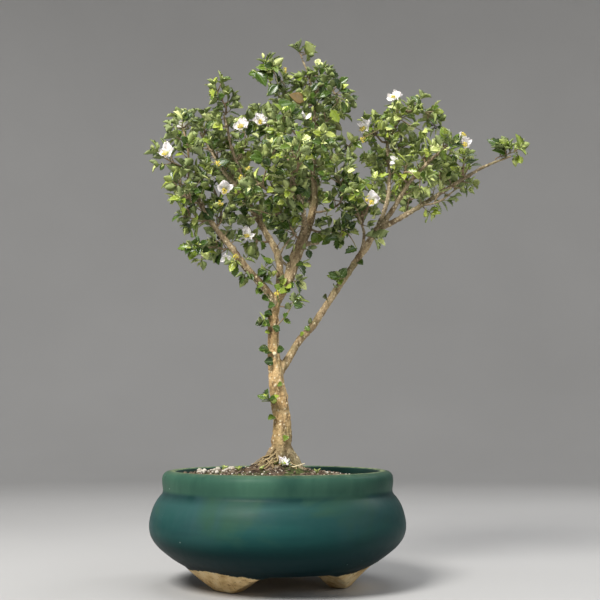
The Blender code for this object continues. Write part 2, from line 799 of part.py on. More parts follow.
def plan_stalk(room, sprays, limbs, middle, facing):
    """Where a flower's stalk meets the nearest twig behind it."""
    axis = Vector(facing).normalized()
    back = Vector(middle) - axis * STALK_START
    options = []
    for a, b, radius, twig in all_segments(sprays, limbs):
        for t in (0.35, 0.5, 0.65):
            target = a.lerp(b, t)
            gap = target - back
            slant = abs(gap.normalized().dot((b - a).normalized()))
            behind = gap.normalized().dot(-axis)
            if gap.length > STALK_LEAST and behind > 0.1 and slant < STALK_SLANT:
                options.append((gap.length, radius, target, twig, a, b))
    options.sort(key=lambda option: option[0])
    for _, radius, target, twig, a, b in options[:STALK_TRIES]:
        way = (target - back).normalized()
        slant = abs(way.dot((b - a).normalized()))
        stop = (TWIG_CORNER * radius + PEDICEL_RADIUS * slant + CLEARANCE) / cos(asin(slant))
        end = target - way * stop
        shell = prism(back + way * 1.2, end, PEDICEL_RADIUS + 0.1)
        if room.free(shell, twig):
            room.take(shell, None)
            return end
    raise ValueError(f"no twig for the flower at {middle}")


# Building twigs, leaves and flowers by extruding faces


def extrude(bm, face, centre, wide, thick, half_wide, half_thick):
    """Extrudes a four-sided face to a new rectangle with the least twist, and returns that face."""
    new = bmesh.ops.extrude_discrete_faces(bm, faces=[face])["faces"][0]
    middle = new.calc_center_median()
    ways = [(vert.co - middle).normalized() for vert in new.verts]

    def fit(shift):
        corners = CORNERS[shift:] + CORNERS[:shift]
        return sum(way.dot(wide * a + thick * b) for way, (a, b) in zip(ways, corners))

    shift = max(range(4), key=fit)
    for vert, (a, b) in zip(new.verts, CORNERS[shift:] + CORNERS[:shift]):
        vert.co = centre + wide * (a * half_wide) + thick * (b * half_thick)
    return new


def point_off(bm, face, tip):
    bmesh.ops.poke(bm, faces=[face])["verts"][0].co = tip


def sides_beside(face, frame):
    """The four faces beside an end face, in the order of sides_of."""
    face.normal_update()
    beside = [next(f for f in edge.link_faces if f is not face) for edge in face.edges]
    middle = face.calc_center_median()
    return [max(beside, key=lambda f: (f.calc_center_median() - middle).dot(out)) for out in sides_of(frame)]


def build_leaf(bm, face, leaf):
    start = leaf.base + leaf.along * PETIOLE_LENGTH
    middle = leaf.base + leaf.along * (0.5 * leaf.length)
    half_width = LEAF_HALF_WIDTH * leaf.length
    petiole = extrude(bm, face, start, leaf.wide, leaf.thick, PETIOLE_RADIUS, PETIOLE_RADIUS)
    blade = extrude(bm, petiole, middle, leaf.wide, leaf.thick, half_width, LEAF_HALF_THICKNESS)
    point_off(bm, blade, leaf.base + leaf.along * leaf.length)


def build_twig(bm, end, twig):
    """Carries an end face along a twig, with what grows on its nodes."""
    pending = []
    half = twig.radius * TWIG_SIDE
    frames = twig.frames()
    for node in range(1, len(twig.path)):
        along, across, other = frames[node]
        end = extrude(bm, end, twig.path[node], across, other, half, half)
        if twig.bears[node]:
            top = twig.path[node] + along * NODE_LENGTH
            end = extrude(bm, end, top, across, other, half, half)
            beside = sides_beside(end, (along, across, other))
            pending += [(beside[k], node, k) for k in range(4) if (node, k) in twig.growth]
    point_off(bm, end, twig.bud())
    for face, node, side in pending:
        grown = twig.growth[node, side]
        if isinstance(grown, Leaf):
            build_leaf(bm, face, grown)
        else:
            build_twig(bm, face, grown)


def build_spray(name, twig, material, parts, root):
    bm = bmesh.new()
    bmesh.ops.create_cube(bm, size=1)
    top = max(bm.faces, key=lambda face: face.calc_center_median().z)
    along, across, other = twig.frames()[0]
    half = twig.radius * TWIG_SIDE
    first = (twig.path[1] - twig.path[0]).normalized()
    for vert in bm.verts:
        height = 0.0 if vert.co.z < 0 else TWIG_START
        flat = across * copysign(half, vert.co.x) + other * copysign(half, vert.co.y)
        vert.co = twig.path[0] + first * height + flat
    build_twig(bm, top, twig)
    return place(name, mesh_of(bm, name), material, parts, root)


def build_petal(bm, face):
    base = face.calc_center_median()
    out = Vector((base.x, base.y, 0)).normalized()
    along = (out + UP * PETAL_RISE).normalized()
    wide = UP.cross(out)
    widest = base + along * (PETAL_WIDEST_AT * PETAL_LENGTH)
    half_width = PETAL_HALF_WIDTH * PETAL_LENGTH
    petal = extrude(bm, face, widest, wide, along.cross(wide), half_width, PETAL_HALF_THICKNESS)
    point_off(bm, petal, base + along * PETAL_LENGTH)


def build_stalk(bm, face, end):
    """Carries a flower's back face to the end of its stalk."""
    way = (end - face.calc_center_median()).normalized()
    tip = bmesh.ops.extrude_discrete_faces(bm, faces=[face])["faces"][0]
    centre = tip.calc_center_median()
    for vert in tip.verts:
        offset = vert.co - centre
        offset -= way * offset.dot(way)
        vert.co = end + offset.normalized() * PEDICEL_RADIUS


def build_flower(name, middle, facing, stalk_end, material, parts, root):
    bm = bmesh.new()
    bmesh.ops.create_cone(
        bm,
        cap_ends=True,
        segments=PETALS,
        radius1=CALYX_RADIUS * 0.6,
        radius2=CALYX_RADIUS,
        depth=CALYX_DEPTH,
    )
    back, *sides, front = sorted(bm.faces, key=lambda face: face.calc_center_median().z)
    for side in sides:
        build_petal(bm, side)
    point_off(bm, front, Vector((0, 0, CALYX_DEPTH + STAMEN_HEIGHT)))
    facing = Vector(facing).to_track_quat("Z", "Y").to_matrix().to_4x4()
    bmesh.ops.transform(bm, matrix=Matrix.Translation(middle) @ facing, verts=bm.verts)
    if stalk_end is not None:
        build_stalk(bm, back, stalk_end)
    return place(name, mesh_of(bm, name), material, parts, root)


def clear_scene():
    for obj in list(bpy.data.objects):
        bpy.data.objects.remove(obj)


def centre_on_box(root, parts):
    """Moves the whole tree so that the middle of its box is over the origin."""
    bpy.context.view_layer.update()
    graph = bpy.context.evaluated_depsgraph_get()
    corners = []
    for obj in parts.objects:
        evaluated = obj.evaluated_get(graph)
        corners += [evaluated.matrix_world @ Vector(corner) for corner in evaluated.bound_box]
    for axis in (0, 1):
        values = [corner[axis] for corner in corners]
        root.location[axis] = -(min(values) + max(values)) / 2
    bpy.context.view_layer.update()


def main():
    clear_scene()
    parts = bpy.data.collections.new("dwarf_holly_bonsai")
    cutters = bpy.data.collections.new("cutters")
    for collection in (parts, cutters):
        bpy.context.scene.collection.children.link(collection)
    root = bpy.data.objects.new("stand", None)
    bpy.context.scene.collection.objects.link(root)

    glaze = principled("glaze", (0.03, 0.13, 0.12), 0.25)
    earth = principled("earth", (0.16, 0.10, 0.06), 0.95)
    plastic = principled("screen_plastic", (0.03, 0.03, 0.03), 0.6)
    bark = principled("bark", (0.48, 0.34, 0.18), 0.85)
    leaf = principled("leaf", (0.09, 0.22, 0.05), 0.35)
    petal = principled("petal", (0.9, 0.86, 0.84), 0.6)

    make_pot(glaze, parts, root)
    make_soil(earth, parts, cutters, root)
    make_screen(plastic, parts, root)
    limbs = limb_rows()
    make_trunk(limbs, bark, parts, cutters, root)
    sprays, stalks = plan_foliage(limbs)
    for index, twig in enumerate(sprays):
        build_spray(f"spray_{index + 1:02d}", twig, leaf, parts, root)
    for index, ((middle, facing), stalk) in enumerate(zip(FLOWERS, stalks)):
        build_flower(f"flower_{index + 1}", middle, facing, stalk, petal, parts, root)
    build_flower("fallen_flower", *FALLEN_FLOWER, None, petal, parts, root)
    centre_on_box(root, parts)


main()
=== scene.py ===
"""Looks of the dwarf holly bonsai and its pot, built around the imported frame.

Shapes are planned in millimetres from the ground under the pot's axis, with +X towards the long
right-hand limb, -Y towards the front and +Z up, and they are moved into the frame as they are built.
The plan of the twigs and leaves repeats the part's own, so that each leaf here lies on its solid.
"""

from dataclasses import dataclass, field
from itertools import product
from math import asin, atan2, cos, degrees, exp, hypot, pi, radians, sin, sqrt, tau
from random import Random

import bpy
import numpy as np
from mathutils import Matrix, Vector, kdtree, noise
from mathutils.bvhtree import BVHTree


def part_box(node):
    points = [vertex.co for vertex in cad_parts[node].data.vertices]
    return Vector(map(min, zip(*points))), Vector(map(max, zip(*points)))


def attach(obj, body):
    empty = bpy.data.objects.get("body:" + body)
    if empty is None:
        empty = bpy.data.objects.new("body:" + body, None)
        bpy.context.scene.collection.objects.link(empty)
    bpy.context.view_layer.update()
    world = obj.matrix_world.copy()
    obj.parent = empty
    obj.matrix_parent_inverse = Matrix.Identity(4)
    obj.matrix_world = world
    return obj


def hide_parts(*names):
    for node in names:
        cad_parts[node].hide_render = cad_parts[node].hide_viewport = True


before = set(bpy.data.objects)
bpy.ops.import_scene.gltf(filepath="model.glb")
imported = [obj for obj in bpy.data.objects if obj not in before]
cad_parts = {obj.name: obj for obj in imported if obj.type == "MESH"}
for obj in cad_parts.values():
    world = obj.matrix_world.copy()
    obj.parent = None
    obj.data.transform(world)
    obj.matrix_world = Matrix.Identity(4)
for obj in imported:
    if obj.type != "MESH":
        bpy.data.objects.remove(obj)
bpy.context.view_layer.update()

MM = 0.001
UP = Vector((0, 0, 1))
POT_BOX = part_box("pot")
AXIS = (POT_BOX[0] + POT_BOX[1]) / 2
AXIS.z = 0.0

# Camera, stage and lights, in millimetres from the pot's axis
CAMERA_PLACE = (17.2, -850.0, 128.3)
CAMERA_PITCH = 6.26
SENSOR_WIDTH = 36.0
IMAGE_WIDTH = 600
FOCAL_PIXELS = 1073
STAGE_RADIUS = 2300.0
STAGE_BEND = 900.0
STAGE_HEIGHT = 3200.0
STAGE_SECTORS = 128
LIGHTS_AIM = (10, 0, 200)
# Name, place, diameter, watts and colour
LIGHTS = [
    ("key", (-650, -1000, 1300), 650, 38, (1.0, 0.98, 0.94)),
    ("fill", (1150, -900, 700), 1300, 6, (0.96, 0.98, 1.0)),
    ("top", (100, 150, 1500), 1300, 10, (1.0, 1.0, 1.0)),
    ("rim", (950, 500, 900), 500, 3.5, (1.0, 1.0, 1.0)),
]
WORLD_COLOUR = (0.55, 0.56, 0.58, 1)
WORLD_STRENGTH = 0.13

# Seeds of the random draws. Those that serve several pieces are added to the piece's number.
TWIG_SEED, SPRAY_SEED, SHOOT_SEED, FLOWER_SEED, FALLEN_SEED = 7000, 300, 500, 40, 60
FILL_SEED, LIMB_SHOOT_SEED, FILL_SHAPE_SEED = 81, 82, 83
PLACED_SEED, SPENT_SEED, PETAL_SEED, GRIT_SEED, ROOT_SEED, LITTER_SEED = 77, 91, 92, 17, 23, 31

# Pot
CLEARANCE = 0.3
BELLY_RADIUS = 99.6
MOUTH_RADIUS = 76.0
RIM_HEIGHT = 87.6
FLOOR_HEIGHT = 25.5
UNDERSIDE_HEIGHT = 16.5
DRAIN_RADIUS = 9.5
FOOT_AZIMUTHS = (-44.5, 75.5, 195.5)
FOOT_REACH = 45
# How high the foot ring stands off the ground, by degrees from the middle of the nearest foot
FOOT_SIDE = [(0.0, 0.0), (9.5, 0.0), (17.0, 4.2), (26.0, 9.0), (34.0, 12.8), (42.0, 15.2), (60.0, 15.5)]
FOOT_SOFTNESS = 1.1
# Radius and height along the pot's outside, down to its foot ring, and up along its inside
POT_OUTSIDE = [
    (82.0, RIM_HEIGHT), (86.6, 86.9), (89.4, 84.0), (89.9, 79.0), (89.2, 73.0), (89.6, 70.6), (93.6, 65.6),
    (97.2, 58.6), (BELLY_RADIUS, 48.0), (98.4, 39.0), (93.5, 31.5), (86.0, 25.0), (79.0, 20.0),
    (73.0, UNDERSIDE_HEIGHT),
]
POT_INSIDE = [
    (62.0, FLOOR_HEIGHT), (74.0, 29.0), (84.0, 36.5), (89.4, 47.0), (88.0, 57.0), (83.0, 65.0),
    (78.0, 71.0), (MOUTH_RADIUS, 77.0), (76.4, 84.0), (78.6, 86.8),
]
# The foot ring's outer side, and the profile from its toe through the drain hole to the floor
POT_FOOT_SIDE = [(65.5, 9.6), (58.5, 2.4)]
POT_UNDER = [
    (57.4, 1.2), (56.2, 0.35), (54.8, 0.0), (51.0, 0.0), (47.0, 0.0), (45.2, 0.2), (43.8, 1.2), (42.7, 2.8),
    (42.1, 5.0), (41.7, 8.0), (41.3, 11.0), (41.0, 13.6), (40.4, 15.1), (38.8, 15.5), (34.0, 15.5),
    (26.0, 15.5), (18.0, 15.5), (12.0, 15.5), (10.4, 15.6), (DRAIN_RADIUS, 16.4), (DRAIN_RADIUS, 20.0),
    (DRAIN_RADIUS, 24.6), (10.2, FLOOR_HEIGHT), (20.0, FLOOR_HEIGHT), (34.0, FLOOR_HEIGHT),
    (48.0, FLOOR_HEIGHT),
]
FOOT_INSIDE = 40.9
POT_SECTORS = 216
POT_SPACING = 2.4

# Soil: its radius and height from the middle out, and what lies on it
SOIL_RADIUS = MOUTH_RADIUS - 0.4
SOIL_TOP = [(0.0, 93.0), (10.0, 92.4), (17.0, 90.6), (26.0, 87.6), (42.0, 85.8), (SOIL_RADIUS, 83.4)]
PEBBLES, GRAINS = 26, 430
FINE_ROOTS, LEFT_ROOTS = 46, 30
STICK = [(9, -15, 90.5, 0.55), (14, -17, 91.2, 0.5), (21, -17, 93.4, 0.4)]
GREEN_STEM = [(8.5, -14, 90, 0.9), (9.0, -14, 93, 0.85), (8.4, -14.2, 97, 0.6)]
PLANTS = [(-1, -13), (3, -14), (-30, -20), (-42, 6), (30, -22), (-12, -24), (4, -17)]
SOIL_FOOT_RADIUS = 60.0
SCREEN_HOLLOW_RADIUS = 22.5
SCREEN_HOLLOW_TOP = 27.8
SOIL_RINGS = 88
SOIL_SECTORS = 250

# Limbs: x, y, z and radius along each, thick end first
LIMBS = {
    "bole": [
        (3, 0, 96, 5.6), (3, 0, 103, 7.0), (3, 0, 111, 7.7), (3, 0, 127, 6.9), (1, 0, 142, 6.5),
        (-1, 0, 154, 6.0), (-2, 0, 166, 5.8), (-4, 0, 182, 4.5), (-4, 0, 198, 4.1), (-4, 0, 212, 4.3),
        (-2, 0, 224, 4.0),
    ],
    "right": [
        (-1, 0, 160, 3.6), (8, 2, 175, 3.1), (17, 4, 190, 2.9), (27, 6, 201, 2.9), (37, 8, 216, 2.8),
        (54, 11, 242, 2.7), (68, 12, 262, 2.6), (81, 14, 283, 2.5),
    ],
    "right_up": [
        (80, 14, 281, 2.0), (89, 24, 305, 1.7), (92, 31, 330, 1.5), (91, 36, 359, 1.3), (98, 34, 373, 1.2),
        (106, 30, 386, 0.9),
    ],
    "right_mid": [
        (80, 14, 281, 2.1), (92, 6, 295, 2.0), (103, -4, 313, 1.7), (113, -12, 324, 1.5),
        (131, -30, 339, 1.0),
    ],
    "right_out": [
        (78, 13, 279, 2.2), (98, 8, 289, 2.1), (124, 0, 304, 1.8), (146, -8, 317, 1.5),
        (164, -12, 327, 1.2), (185, -15, 335, 0.9),
    ],
    "right_twig": [(67, 12, 262, 1.5), (69, 8, 277, 1.2), (62, -6, 295, 1.0), (58, -16, 308, 0.8)],
    "central": [
        (-3, 0, 218, 3.8), (2, 1, 227, 4.0), (9, 3, 242, 4.2), (12, 4, 253, 4.2), (19, 6, 271, 3.9),
        (28, 9, 296, 2.9), (29, 10, 313, 2.4), (27, 9, 342, 1.9), (29, 6, 379, 1.5), (24, 2, 407, 1.0),
        (19, 0, 419, 0.8),
    ],
    "front": [(21, 7, 276, 2.4), (20, -12, 290, 2.1), (15, -32, 302, 1.7), (10, -52, 313, 1.2)],
    "back": [(28, 9, 295, 2.3), (26, 28, 314, 2.0), (21, 50, 331, 1.6), (16, 66, 343, 1.1)],
    "second": [
        (1, 1, 226, 3.0), (0, 14, 257, 2.9), (-10, 22, 278, 2.6), (-25, 31, 304, 2.2), (-36, 36, 321, 1.9),
        (-47, 40, 335, 1.7), (-63, 44, 362, 1.3), (-68, 44, 370, 1.0),
    ],
    "column": [(-27, 32, 307, 1.7), (-33, 26, 333, 1.4), (-39, 22, 349, 1.2), (-46, 16, 378, 0.9)],
    "left": [
        (-3, 0, 220, 3.4), (-12, -3, 232, 3.0), (-26, -9, 247, 2.8), (-38, -14, 263, 2.5),
        (-49, -18, 276, 2.2), (-62, -22, 297, 1.8), (-69, -26, 315, 1.4), (-70, -28, 325, 1.0),
    ],
}
LIMB_SPACING = 11.0
ROOTS = [
    [(1, 0, 106, 4.6), (-7, -3, 98, 3.7), (-13, -6, 90, 3.1), (-20, -9, 84, 2.4), (-29, -12, 77, 1.6)],
    [(2, 2, 104, 4.2), (-5, 6, 96, 3.3), (-11, 11, 88, 2.7), (-19, 17, 82, 2.0), (-27, 23, 76, 1.4)],
    [(5, 0, 107, 4.6), (11, -2, 99, 3.7), (16, -4, 91, 3.1), (21, -6, 85, 2.5), (29, -9, 77, 1.6)],
    [(5, 2, 104, 4.2), (11, 8, 94, 3.0), (17, 14, 86, 2.3), (25, 21, 77, 1.5)],
    [(3, 3, 102, 4.6), (2, 11, 93, 3.4), (-1, 19, 85, 2.4), (-4, 28, 77, 1.5)],
    [(0, -2, 103, 3.8), (-5, -9, 94, 2.6), (-9, -16, 87, 2.0), (-13, -24, 79, 1.2)],
]
# Cut stubs and thin shoots that only the bark shows
STUBS = [
    [(-16, 26, 290, 2.0), (-20, 27, 296, 2.0), (-23, 28, 301, 1.9)],
    [(16, 5, 265, 2.0), (25, 5, 268, 1.7), (33, 5, 268.5, 1.5)],
    [(8, 2, 248, 1.2), (1, -5, 256, 1.0), (8, -7, 268, 0.8), (19, -6, 279, 0.5)],
    [(-4, -2, 218, 0.9), (-10, -8, 226, 0.7), (-19, -9, 236, 0.5)],
]
ROOT_STRANDS = 4
BARK_SIDES = 20
BARK_VOXEL = 0.64
BARK_THICKEST = 7.7
TREE_HEIGHT = 430
CUT_END = [(-2.5, -3.5, 178, 1.6), (-2.9, -6.4, 178.6, 1.5)]
TWIN_HEIGHTS = (226.0, 290.0)
TWIN_BLEND = 14
TWIN_APART = 2.1
TWIN_RADIUS = 0.62

# Foliage: the limb that carries each group of sprays, and the pads of leaves along each (x, y, z, radius)
SPRAYS = [
    ("left", [
        [(-88, -34, 329, 12)], [(-70, -40, 339, 11), (-76, -30, 357, 13)],
        [(-71, -46, 295, 12), (-76, -34, 311, 14)], [(-68, -26, 283, 14)],
        [(-48, -10, 263, 11), (-62, -36, 256, 13)], [(-45, -6, 292, 13), (-55, -20, 318, 13)],
    ]),
    ("second", [
        [(-64, 40, 377, 14), (-80, 52, 379, 12)], [(-54, 20, 347, 15)],
        [(-41, 56, 332, 16), (-39, 74, 351, 16)], [(-27, 8, 307, 15)], [(-15, 46, 300, 16)],
        [(-22, 12, 274, 11)],
    ]),
    ("column", [[(-44, 18, 384, 8), (-51, 14, 396, 11)], [(-27, 10, 353, 16)]]),
    ("central", [
        [(-1, 12, 391, 15), (-9, -6, 407, 14)], [(6, -34, 355, 16), (-13, -12, 364, 14)],
        [(35, 2, 403, 14), (48, -14, 383, 11)], [(44, 20, 376, 12)], [(17, -2, 424, 5)],
        [(34, -30, 342, 15)],
    ]),
    ("front", [[(16, -72, 324, 17)], [(-11, -38, 301, 16), (-6, -64, 321, 16)], [(11, -44, 300, 16)]]),
    ("central", [
        [(3, -18, 289, 14)], [(54, 14, 347, 15)], [(51, -12, 298, 13), (47, -26, 316, 16)],
        [(50, 10, 278, 11)],
    ]),
    ("back", [[(17, 78, 350, 17)], [(35, 70, 386, 16)], [(-7, 74, 369, 17)]]),
    ("right_up", [
        [(77, 30, 370, 12)], [(98, 26, 378, 13)], [(116, 38, 390, 12), (130, 44, 383, 9)],
        [(82, 62, 350, 15)], [(107, 50, 360, 14)],
    ]),
    ("right_mid", [[(96, -16, 325, 14), (110, -34, 313, 13)], [(116, -10, 344, 12), (131, -38, 337, 12)]]),
    ("right_out", [
        [(132, 14, 329, 14)], [(146, -22, 327, 12)], [(121, -10, 298, 12), (143, 2, 314, 11)],
        [(107, 24, 307, 12)], [(176, -14, 334, 7), (187, -15, 338, 9)],
    ]),
    ("right_twig", [[(67, 4, 292, 11), (60, -22, 306, 14)], [(79, -10, 307, 12)]]),
    ("bole", [[(-6, -9, 141, 4)], [(11, -3, 219, 6)]]),
]

# Flowers: the middle of each, and the way that it faces
FLOWERS = [
    ((-84, -44, 330), (-0.4, -0.9, 0.2)), ((-28, -24, 356), (-0.2, -0.9, 0.4)),
    ((-14, -27, 359), (0.3, -0.9, 0.3)), ((-41, -34, 304), (0.3, -0.9, -0.1)),
    ((-24, -8, 271), (0.0, -0.9, 0.5)), ((71, 2, 362), (-0.6, -0.7, 0.2)),
    ((96, 8, 388), (-0.3, -0.6, 0.7)), ((144, -38, 338), (0.3, -0.9, 0.3)),
    ((74, -30, 296), (-0.1, -0.9, -0.2)),
]
FALLEN_FLOWER = ((7.5, -15.0, 92.0), (0.1, -0.55, 0.85))
FALLEN_FLOWER_SHIFT = Vector((-2.2, 0.3, 1.0))
FALLEN_FLOWER_SIZE = 0.72
PETALS, INNER_PETALS = 5, 3
PETAL_LENGTH = 5.6
PETAL_COLUMNS = 11
PETAL_STATIONS = 8
PETAL_THICKNESS = 0.14
CALYX_ROWS = [(0, 0, -0.9, 0.5), (0, 0, -0.4, 0.9), (0, 0, 0.4, 1.05), (0, 0, 0.9, 0.8)]
PEDICEL_RADIUS = 0.45
FLOWER_ROOM = (-2.6, 2.2, PETAL_LENGTH + 1.6)
STALK_START = 2.0
STALK_LEAST = 4.0
STALK_SLANT = 0.6
STALK_PLACES = (0.35, 0.5, 0.65)
STALK_TRIES = 400

# Flowers that have dropped their petals, two berries, and petals that hang alone
SPENT_FLOWERS = [
    (-36, -34, 327), (-37, -36, 313), (-40, -36, 292), (-29, -32, 329), (-21, -28, 239), (-5, -18, 243),
    (10, -8, 405), (148, -42, 348), (72, -4, 351), (78, -30, 290),
]
BERRIES = [(129, 36, 374), (132, 35, 371)]
LOOSE_PETALS = [
    (23, -20, 368), (89, -20, 331), (-75, -34, 356), (-41, -24, 249), (-53, -30, 313), (126, -24, 342),
]
SPENT_STALK = 9.0
LOOSE_STALK = 5.0

# Twigs: half the side of a twig's square section is a share of its radius
TWIG_RADIUS = 1.05
SIDE_TWIG_RADIUS = 0.6
TWIG_SIDE = 0.8
TWIG_CORNER = TWIG_SIDE * sqrt(2)
TWIG_START = 1.2
TWIG_CORNERS = 5
NODE_LENGTH = 1.1
BUD_LENGTH = 2.4
INTERNODE = 10.5
SHARPEST_TURN = radians(50)
EASING_ROUNDS = 12
MAIN_TWIG_TRIES = 60
SIDE_TWIG_TRIES = 8
SPROUT_REACH = 7

# Leaves: widths are shares of a leaf's length, and a rise is an angle from the twig's side
LEAF_LENGTH = (7.6, 11.0)
LEAF_SCALES = (1.0, 0.9, 0.78)
LEAF_HALF_WIDTH = 0.36
LEAF_HALF_THICKNESS = 0.3
LEAF_RISES = (20, 51)
LEAST_OUTWARD = 0.45
LACK_MADE_UP = 1.3
PETIOLE_LENGTH = 1.3
PETIOLE_RADIUS = 0.2
LEAF_MARGIN = 0.15
CORNERS = [(1, 1), (-1, 1), (-1, -1), (1, -1)]
LEAF_STATIONS = 9
# The ring of points across a leaf: how far out from its midrib, and 1 for the underside
LEAF_RING = [(-1.0, 0), (-0.5, 0), (0.0, 0), (0.5, 0), (1.0, 0), (0.0, 1)]
RING = len(LEAF_RING)
SPINES = (0.03, 0.08, 0.14, 0.2)

# Thin shoots between the twigs: where their leaves sit along them, and where each limb bears them
SHOOT_LEAVES = (0.35, 0.55, 0.75, 0.9, 1.0, 1.0, 1.0, 1.0)
SHOOT_LEAF_LENGTH = (7.5, 12.0)
SHOOT_TRIES = 5
LEAF_TURN, TIP_TURN = 2.2, 2.3
SHOOT_SPREAD = 0.7
SIDE_SHOOT_REACH = 11.0
LIMB_SHOOT_SPACING = 9.0
LIMB_SHOOT_REACH = 13.0
LIMB_SHOOTS_ROUND = 3
FILL_LEAST = 6
LEAFY_LIMBS = {
    "left": (262, 330), "second": (288, 366), "column": (305, 372), "central": (305, 396),
    "front": (288, 330), "back": (300, 345), "right_up": (300, 384), "right_mid": (300, 335),
    "right_out": (294, 320), "right_twig": (284, 310),
}
# The heights between which each limb shows from the front, and how far that view is kept open
SHOWN_LIMBS = [
    ("left", 228, 300), ("second", 250, 300), ("second", 318, 372), ("column", 345, 392),
    ("central", 226, 335), ("right_up", 280, 345), ("right_mid", 290, 332), ("right_out", 284, 334),
    ("right_twig", 262, 292),
]
VIEW_SPACING = 6.0
VIEW_START = 1.5
VIEW_DEPTH = 70.0
VIEW_HALF_WIDTH = 1.3
# Gaps of the crown that a shoot of their own closes
FILLS = [
    (16, 5, 398), (9, -5, 384), (17, -10, 374), (-48, 0, 364), (-54, 5, 370), (-41, 0, 359), (5, 0, 402),
    (17, 8, 388), (4, -5, 276), (-3, -10, 288), (13, 0, 270), (-34, -15, 250), (-13, 0, 270),
    (-23, -5, 257), (-7, -5, 251), (25, 0, 425), (15, -4, 281), (-4, -4, 275), (31, -4, 281),
    (41, -6, 272), (34, -4, 274), (47, -6, 270), (72, -4, 280), (77, -4, 294), (81, -8, 299),
    (90, -8, 296), (105, -6, 291), (79, -2, 271), (48, 2, 240), (-5, -6, 250), (-8, -4, 239),
    (-32, -16, 269), (-33, -14, 248), (-27, -12, 240), (19, -2, 251), (16, -3, 236), (-12, -4, 204),
    (25, -4, 272), (24, -3, 262), (-38, 18, 392), (24, -4, 386), (86, -4, 362), (118, 10, 362),
    (9, -6, 280), (38, -4, 288), (2, 8, 271), (5, 8, 280), (11, 10, 285), (15, 8, 274), (-13, 6, 272),
    (-18, 4, 262), (15, 2, 403), (20, -2, 404), (22, 2, 399), (183, -12, 344), (180, -16, 340),
    (20, -4, 391),
]

# A leaf's tone runs from 0, deep green, to 1, young and yellow, and a dry one has its own; bright tones also
# paint light on leaves in the crown's middle and on its right
DRY_TONE = 1.3
DRY_SHARE = 0.003
# Leaves right of this x get painted light: a lighter tone
PAINTED_LIGHT_RIGHT_X = 62
# Tones of the twig and stamen materials that stand for something else
CUT_WOOD_TONE, GREEN_STEM_TONE, FILAMENT_TONE = 1.6, 3.0, 2.0
# Which of its piece's materials a face takes, in a leafy piece and in a flower
BLADE, WOOD = 0, 1
PETAL, STAMEN, CALYX, BERRY = range(4)

# Leaves that grow straight from the bark: the middle, length and tone of each
BARK_LEAVES = [
    (-14, -8, 182, 9.0, 0.08), (-9, -9, 180, 7.0, 0.0), (-6, -9, 172, 8.5, 0.02), (3, -8, 182, 7.5, 0.05),
    (-1, -9, 198, 7.0, 0.12), (-11, -8, 202, 7.5, 0.2), (-10, -7, 196, 5.0, 0.55),
    (-13, -7, 208, 6.0, 0.15), (-7, -8, 210, 7.0, 0.0), (-6, -8, 216, 7.0, 0.12),
    (-10, -8, 223, 7.5, 0.18), (-17, -8, 226, 7.0, 0.3), (1, -9, 154, 5.5, 0.3), (-3, -10, 142, 7.0, 0.62),
    (-7, -9, 128, 7.5, 0.28), (6, -9, 112, 6.0, 0.4), (4, -10, 236, 7.0, 0.6), (9, -9, 232, 8.0, 0.66),
    (0, -9, 231, 7.5, 0.4), (23, -1, 207, 6.0, 0.15), (23, -1, 199, 5.5, 0.3), (19, -1, 194, 5.0, 0.45),
    (37, 1, 224, 8.0, 0.0), (44, 3, 234, 6.0, 0.1), (66, 7, 252, 7.0, 0.1), (86, 9, 275, 7.0, 0.1),
    (-22, -13, 238, 7.0, 0.2), (-15, -10, 232, 7.0, 0.35), (-12, -11, 243, 8.5, 0.05),
    (-5, -9, 247, 8.0, 0.1), (-8, -10, 238, 8.5, 0.12), (-2, -10, 241, 8.0, 0.25), (4, -9, 229, 8.5, 0.5),
    (10, -8, 227, 7.5, 0.1), (13, -8, 232, 7.0, 0.2), (-14, -10, 226, 7.0, 0.1), (17, -2, 250, 7.5, 0.2),
    (2, -6, 256, 7.5, 0.15),
]
# Large leaves in the crown that stand out from the rest
LARGE_LEAVES = [
    (-9, -14, 408, 18.0, 0.34), (-14, -14, 399, 15.0, 0.16), (15, -16, 382, 14.0, DRY_TONE),
    (-4, -16, 389, 12.0, 0.05), (5, -18, 376, 14.0, 0.18), (36, -12, 397, 10.0, 0.02),
    (29, -12, 392, 9.0, 0.0), (41, -12, 376, 11.0, 0.02), (52, -12, 397, 10.0, 0.2),
    (45, -14, 368, 13.0, 0.55), (32, 0, 417, 8.0, 0.95), (173, -14, 345, 15.0, 0.1),
    (177, -16, 337, 14.0, 0.2), (181, -16, 343, 12.0, 0.45), (14, -22, 307, 10.0, 0.72),
    (-55, -22, 287, 13.0, 0.0), (-44, -24, 327, 12.0, 0.05), (-69, -24, 289, 12.0, 0.05),
    (-19, -20, 290, 12.0, 0.02), (43, -14, 268, 13.0, 0.1), (58, -8, 260, 12.0, 0.05),
    (25, -4, 427, 14.0, 0.75),
]
# A short shoot to the right of the fork: its path and its leaves
FORK_SHOOT = [(-2, -3, 200), (4, -6, 206), (9, -8, 213), (12, -8, 218)]
FORK_SHOOT_LEAVES = [
    (12, -9, 221, 9.5, 0.0), (17, -8, 216, 8.0, 0.1), (16, -8, 222, 7.0, 0.35), (6, -9, 208, 7.5, 0.2),
    (10, -9, 202, 7.5, 0.3), (8, -9, 215, 7.0, 0.15),
]

# Shells that keep one growth clear of another, looked up in cells of space
TWIG_SHELL = 1.25
SHELL_MARGIN = 0.3
SHELL_START = 1.0
CELL = 12.0


# Points, ways and curves


def circle(radius, sides, offset=0):
    """The x and y of points round a circle, the first of them a share of a step on."""
    angles = [tau * (k + offset) / sides for k in range(sides)]
    return [(radius * cos(angle), radius * sin(angle)) for angle in angles]


def wobble(rng, reach):
    """A vector whose parts are drawn between -reach and reach."""
    return Vector([rng.uniform(-reach, reach) for _ in range(3)])


def heading(start, end):
    return (end - start).normalized()


def turned(way, angle, axis):
    way = way.copy()
    way.rotate(Matrix.Rotation(angle, 3, axis))
    return way


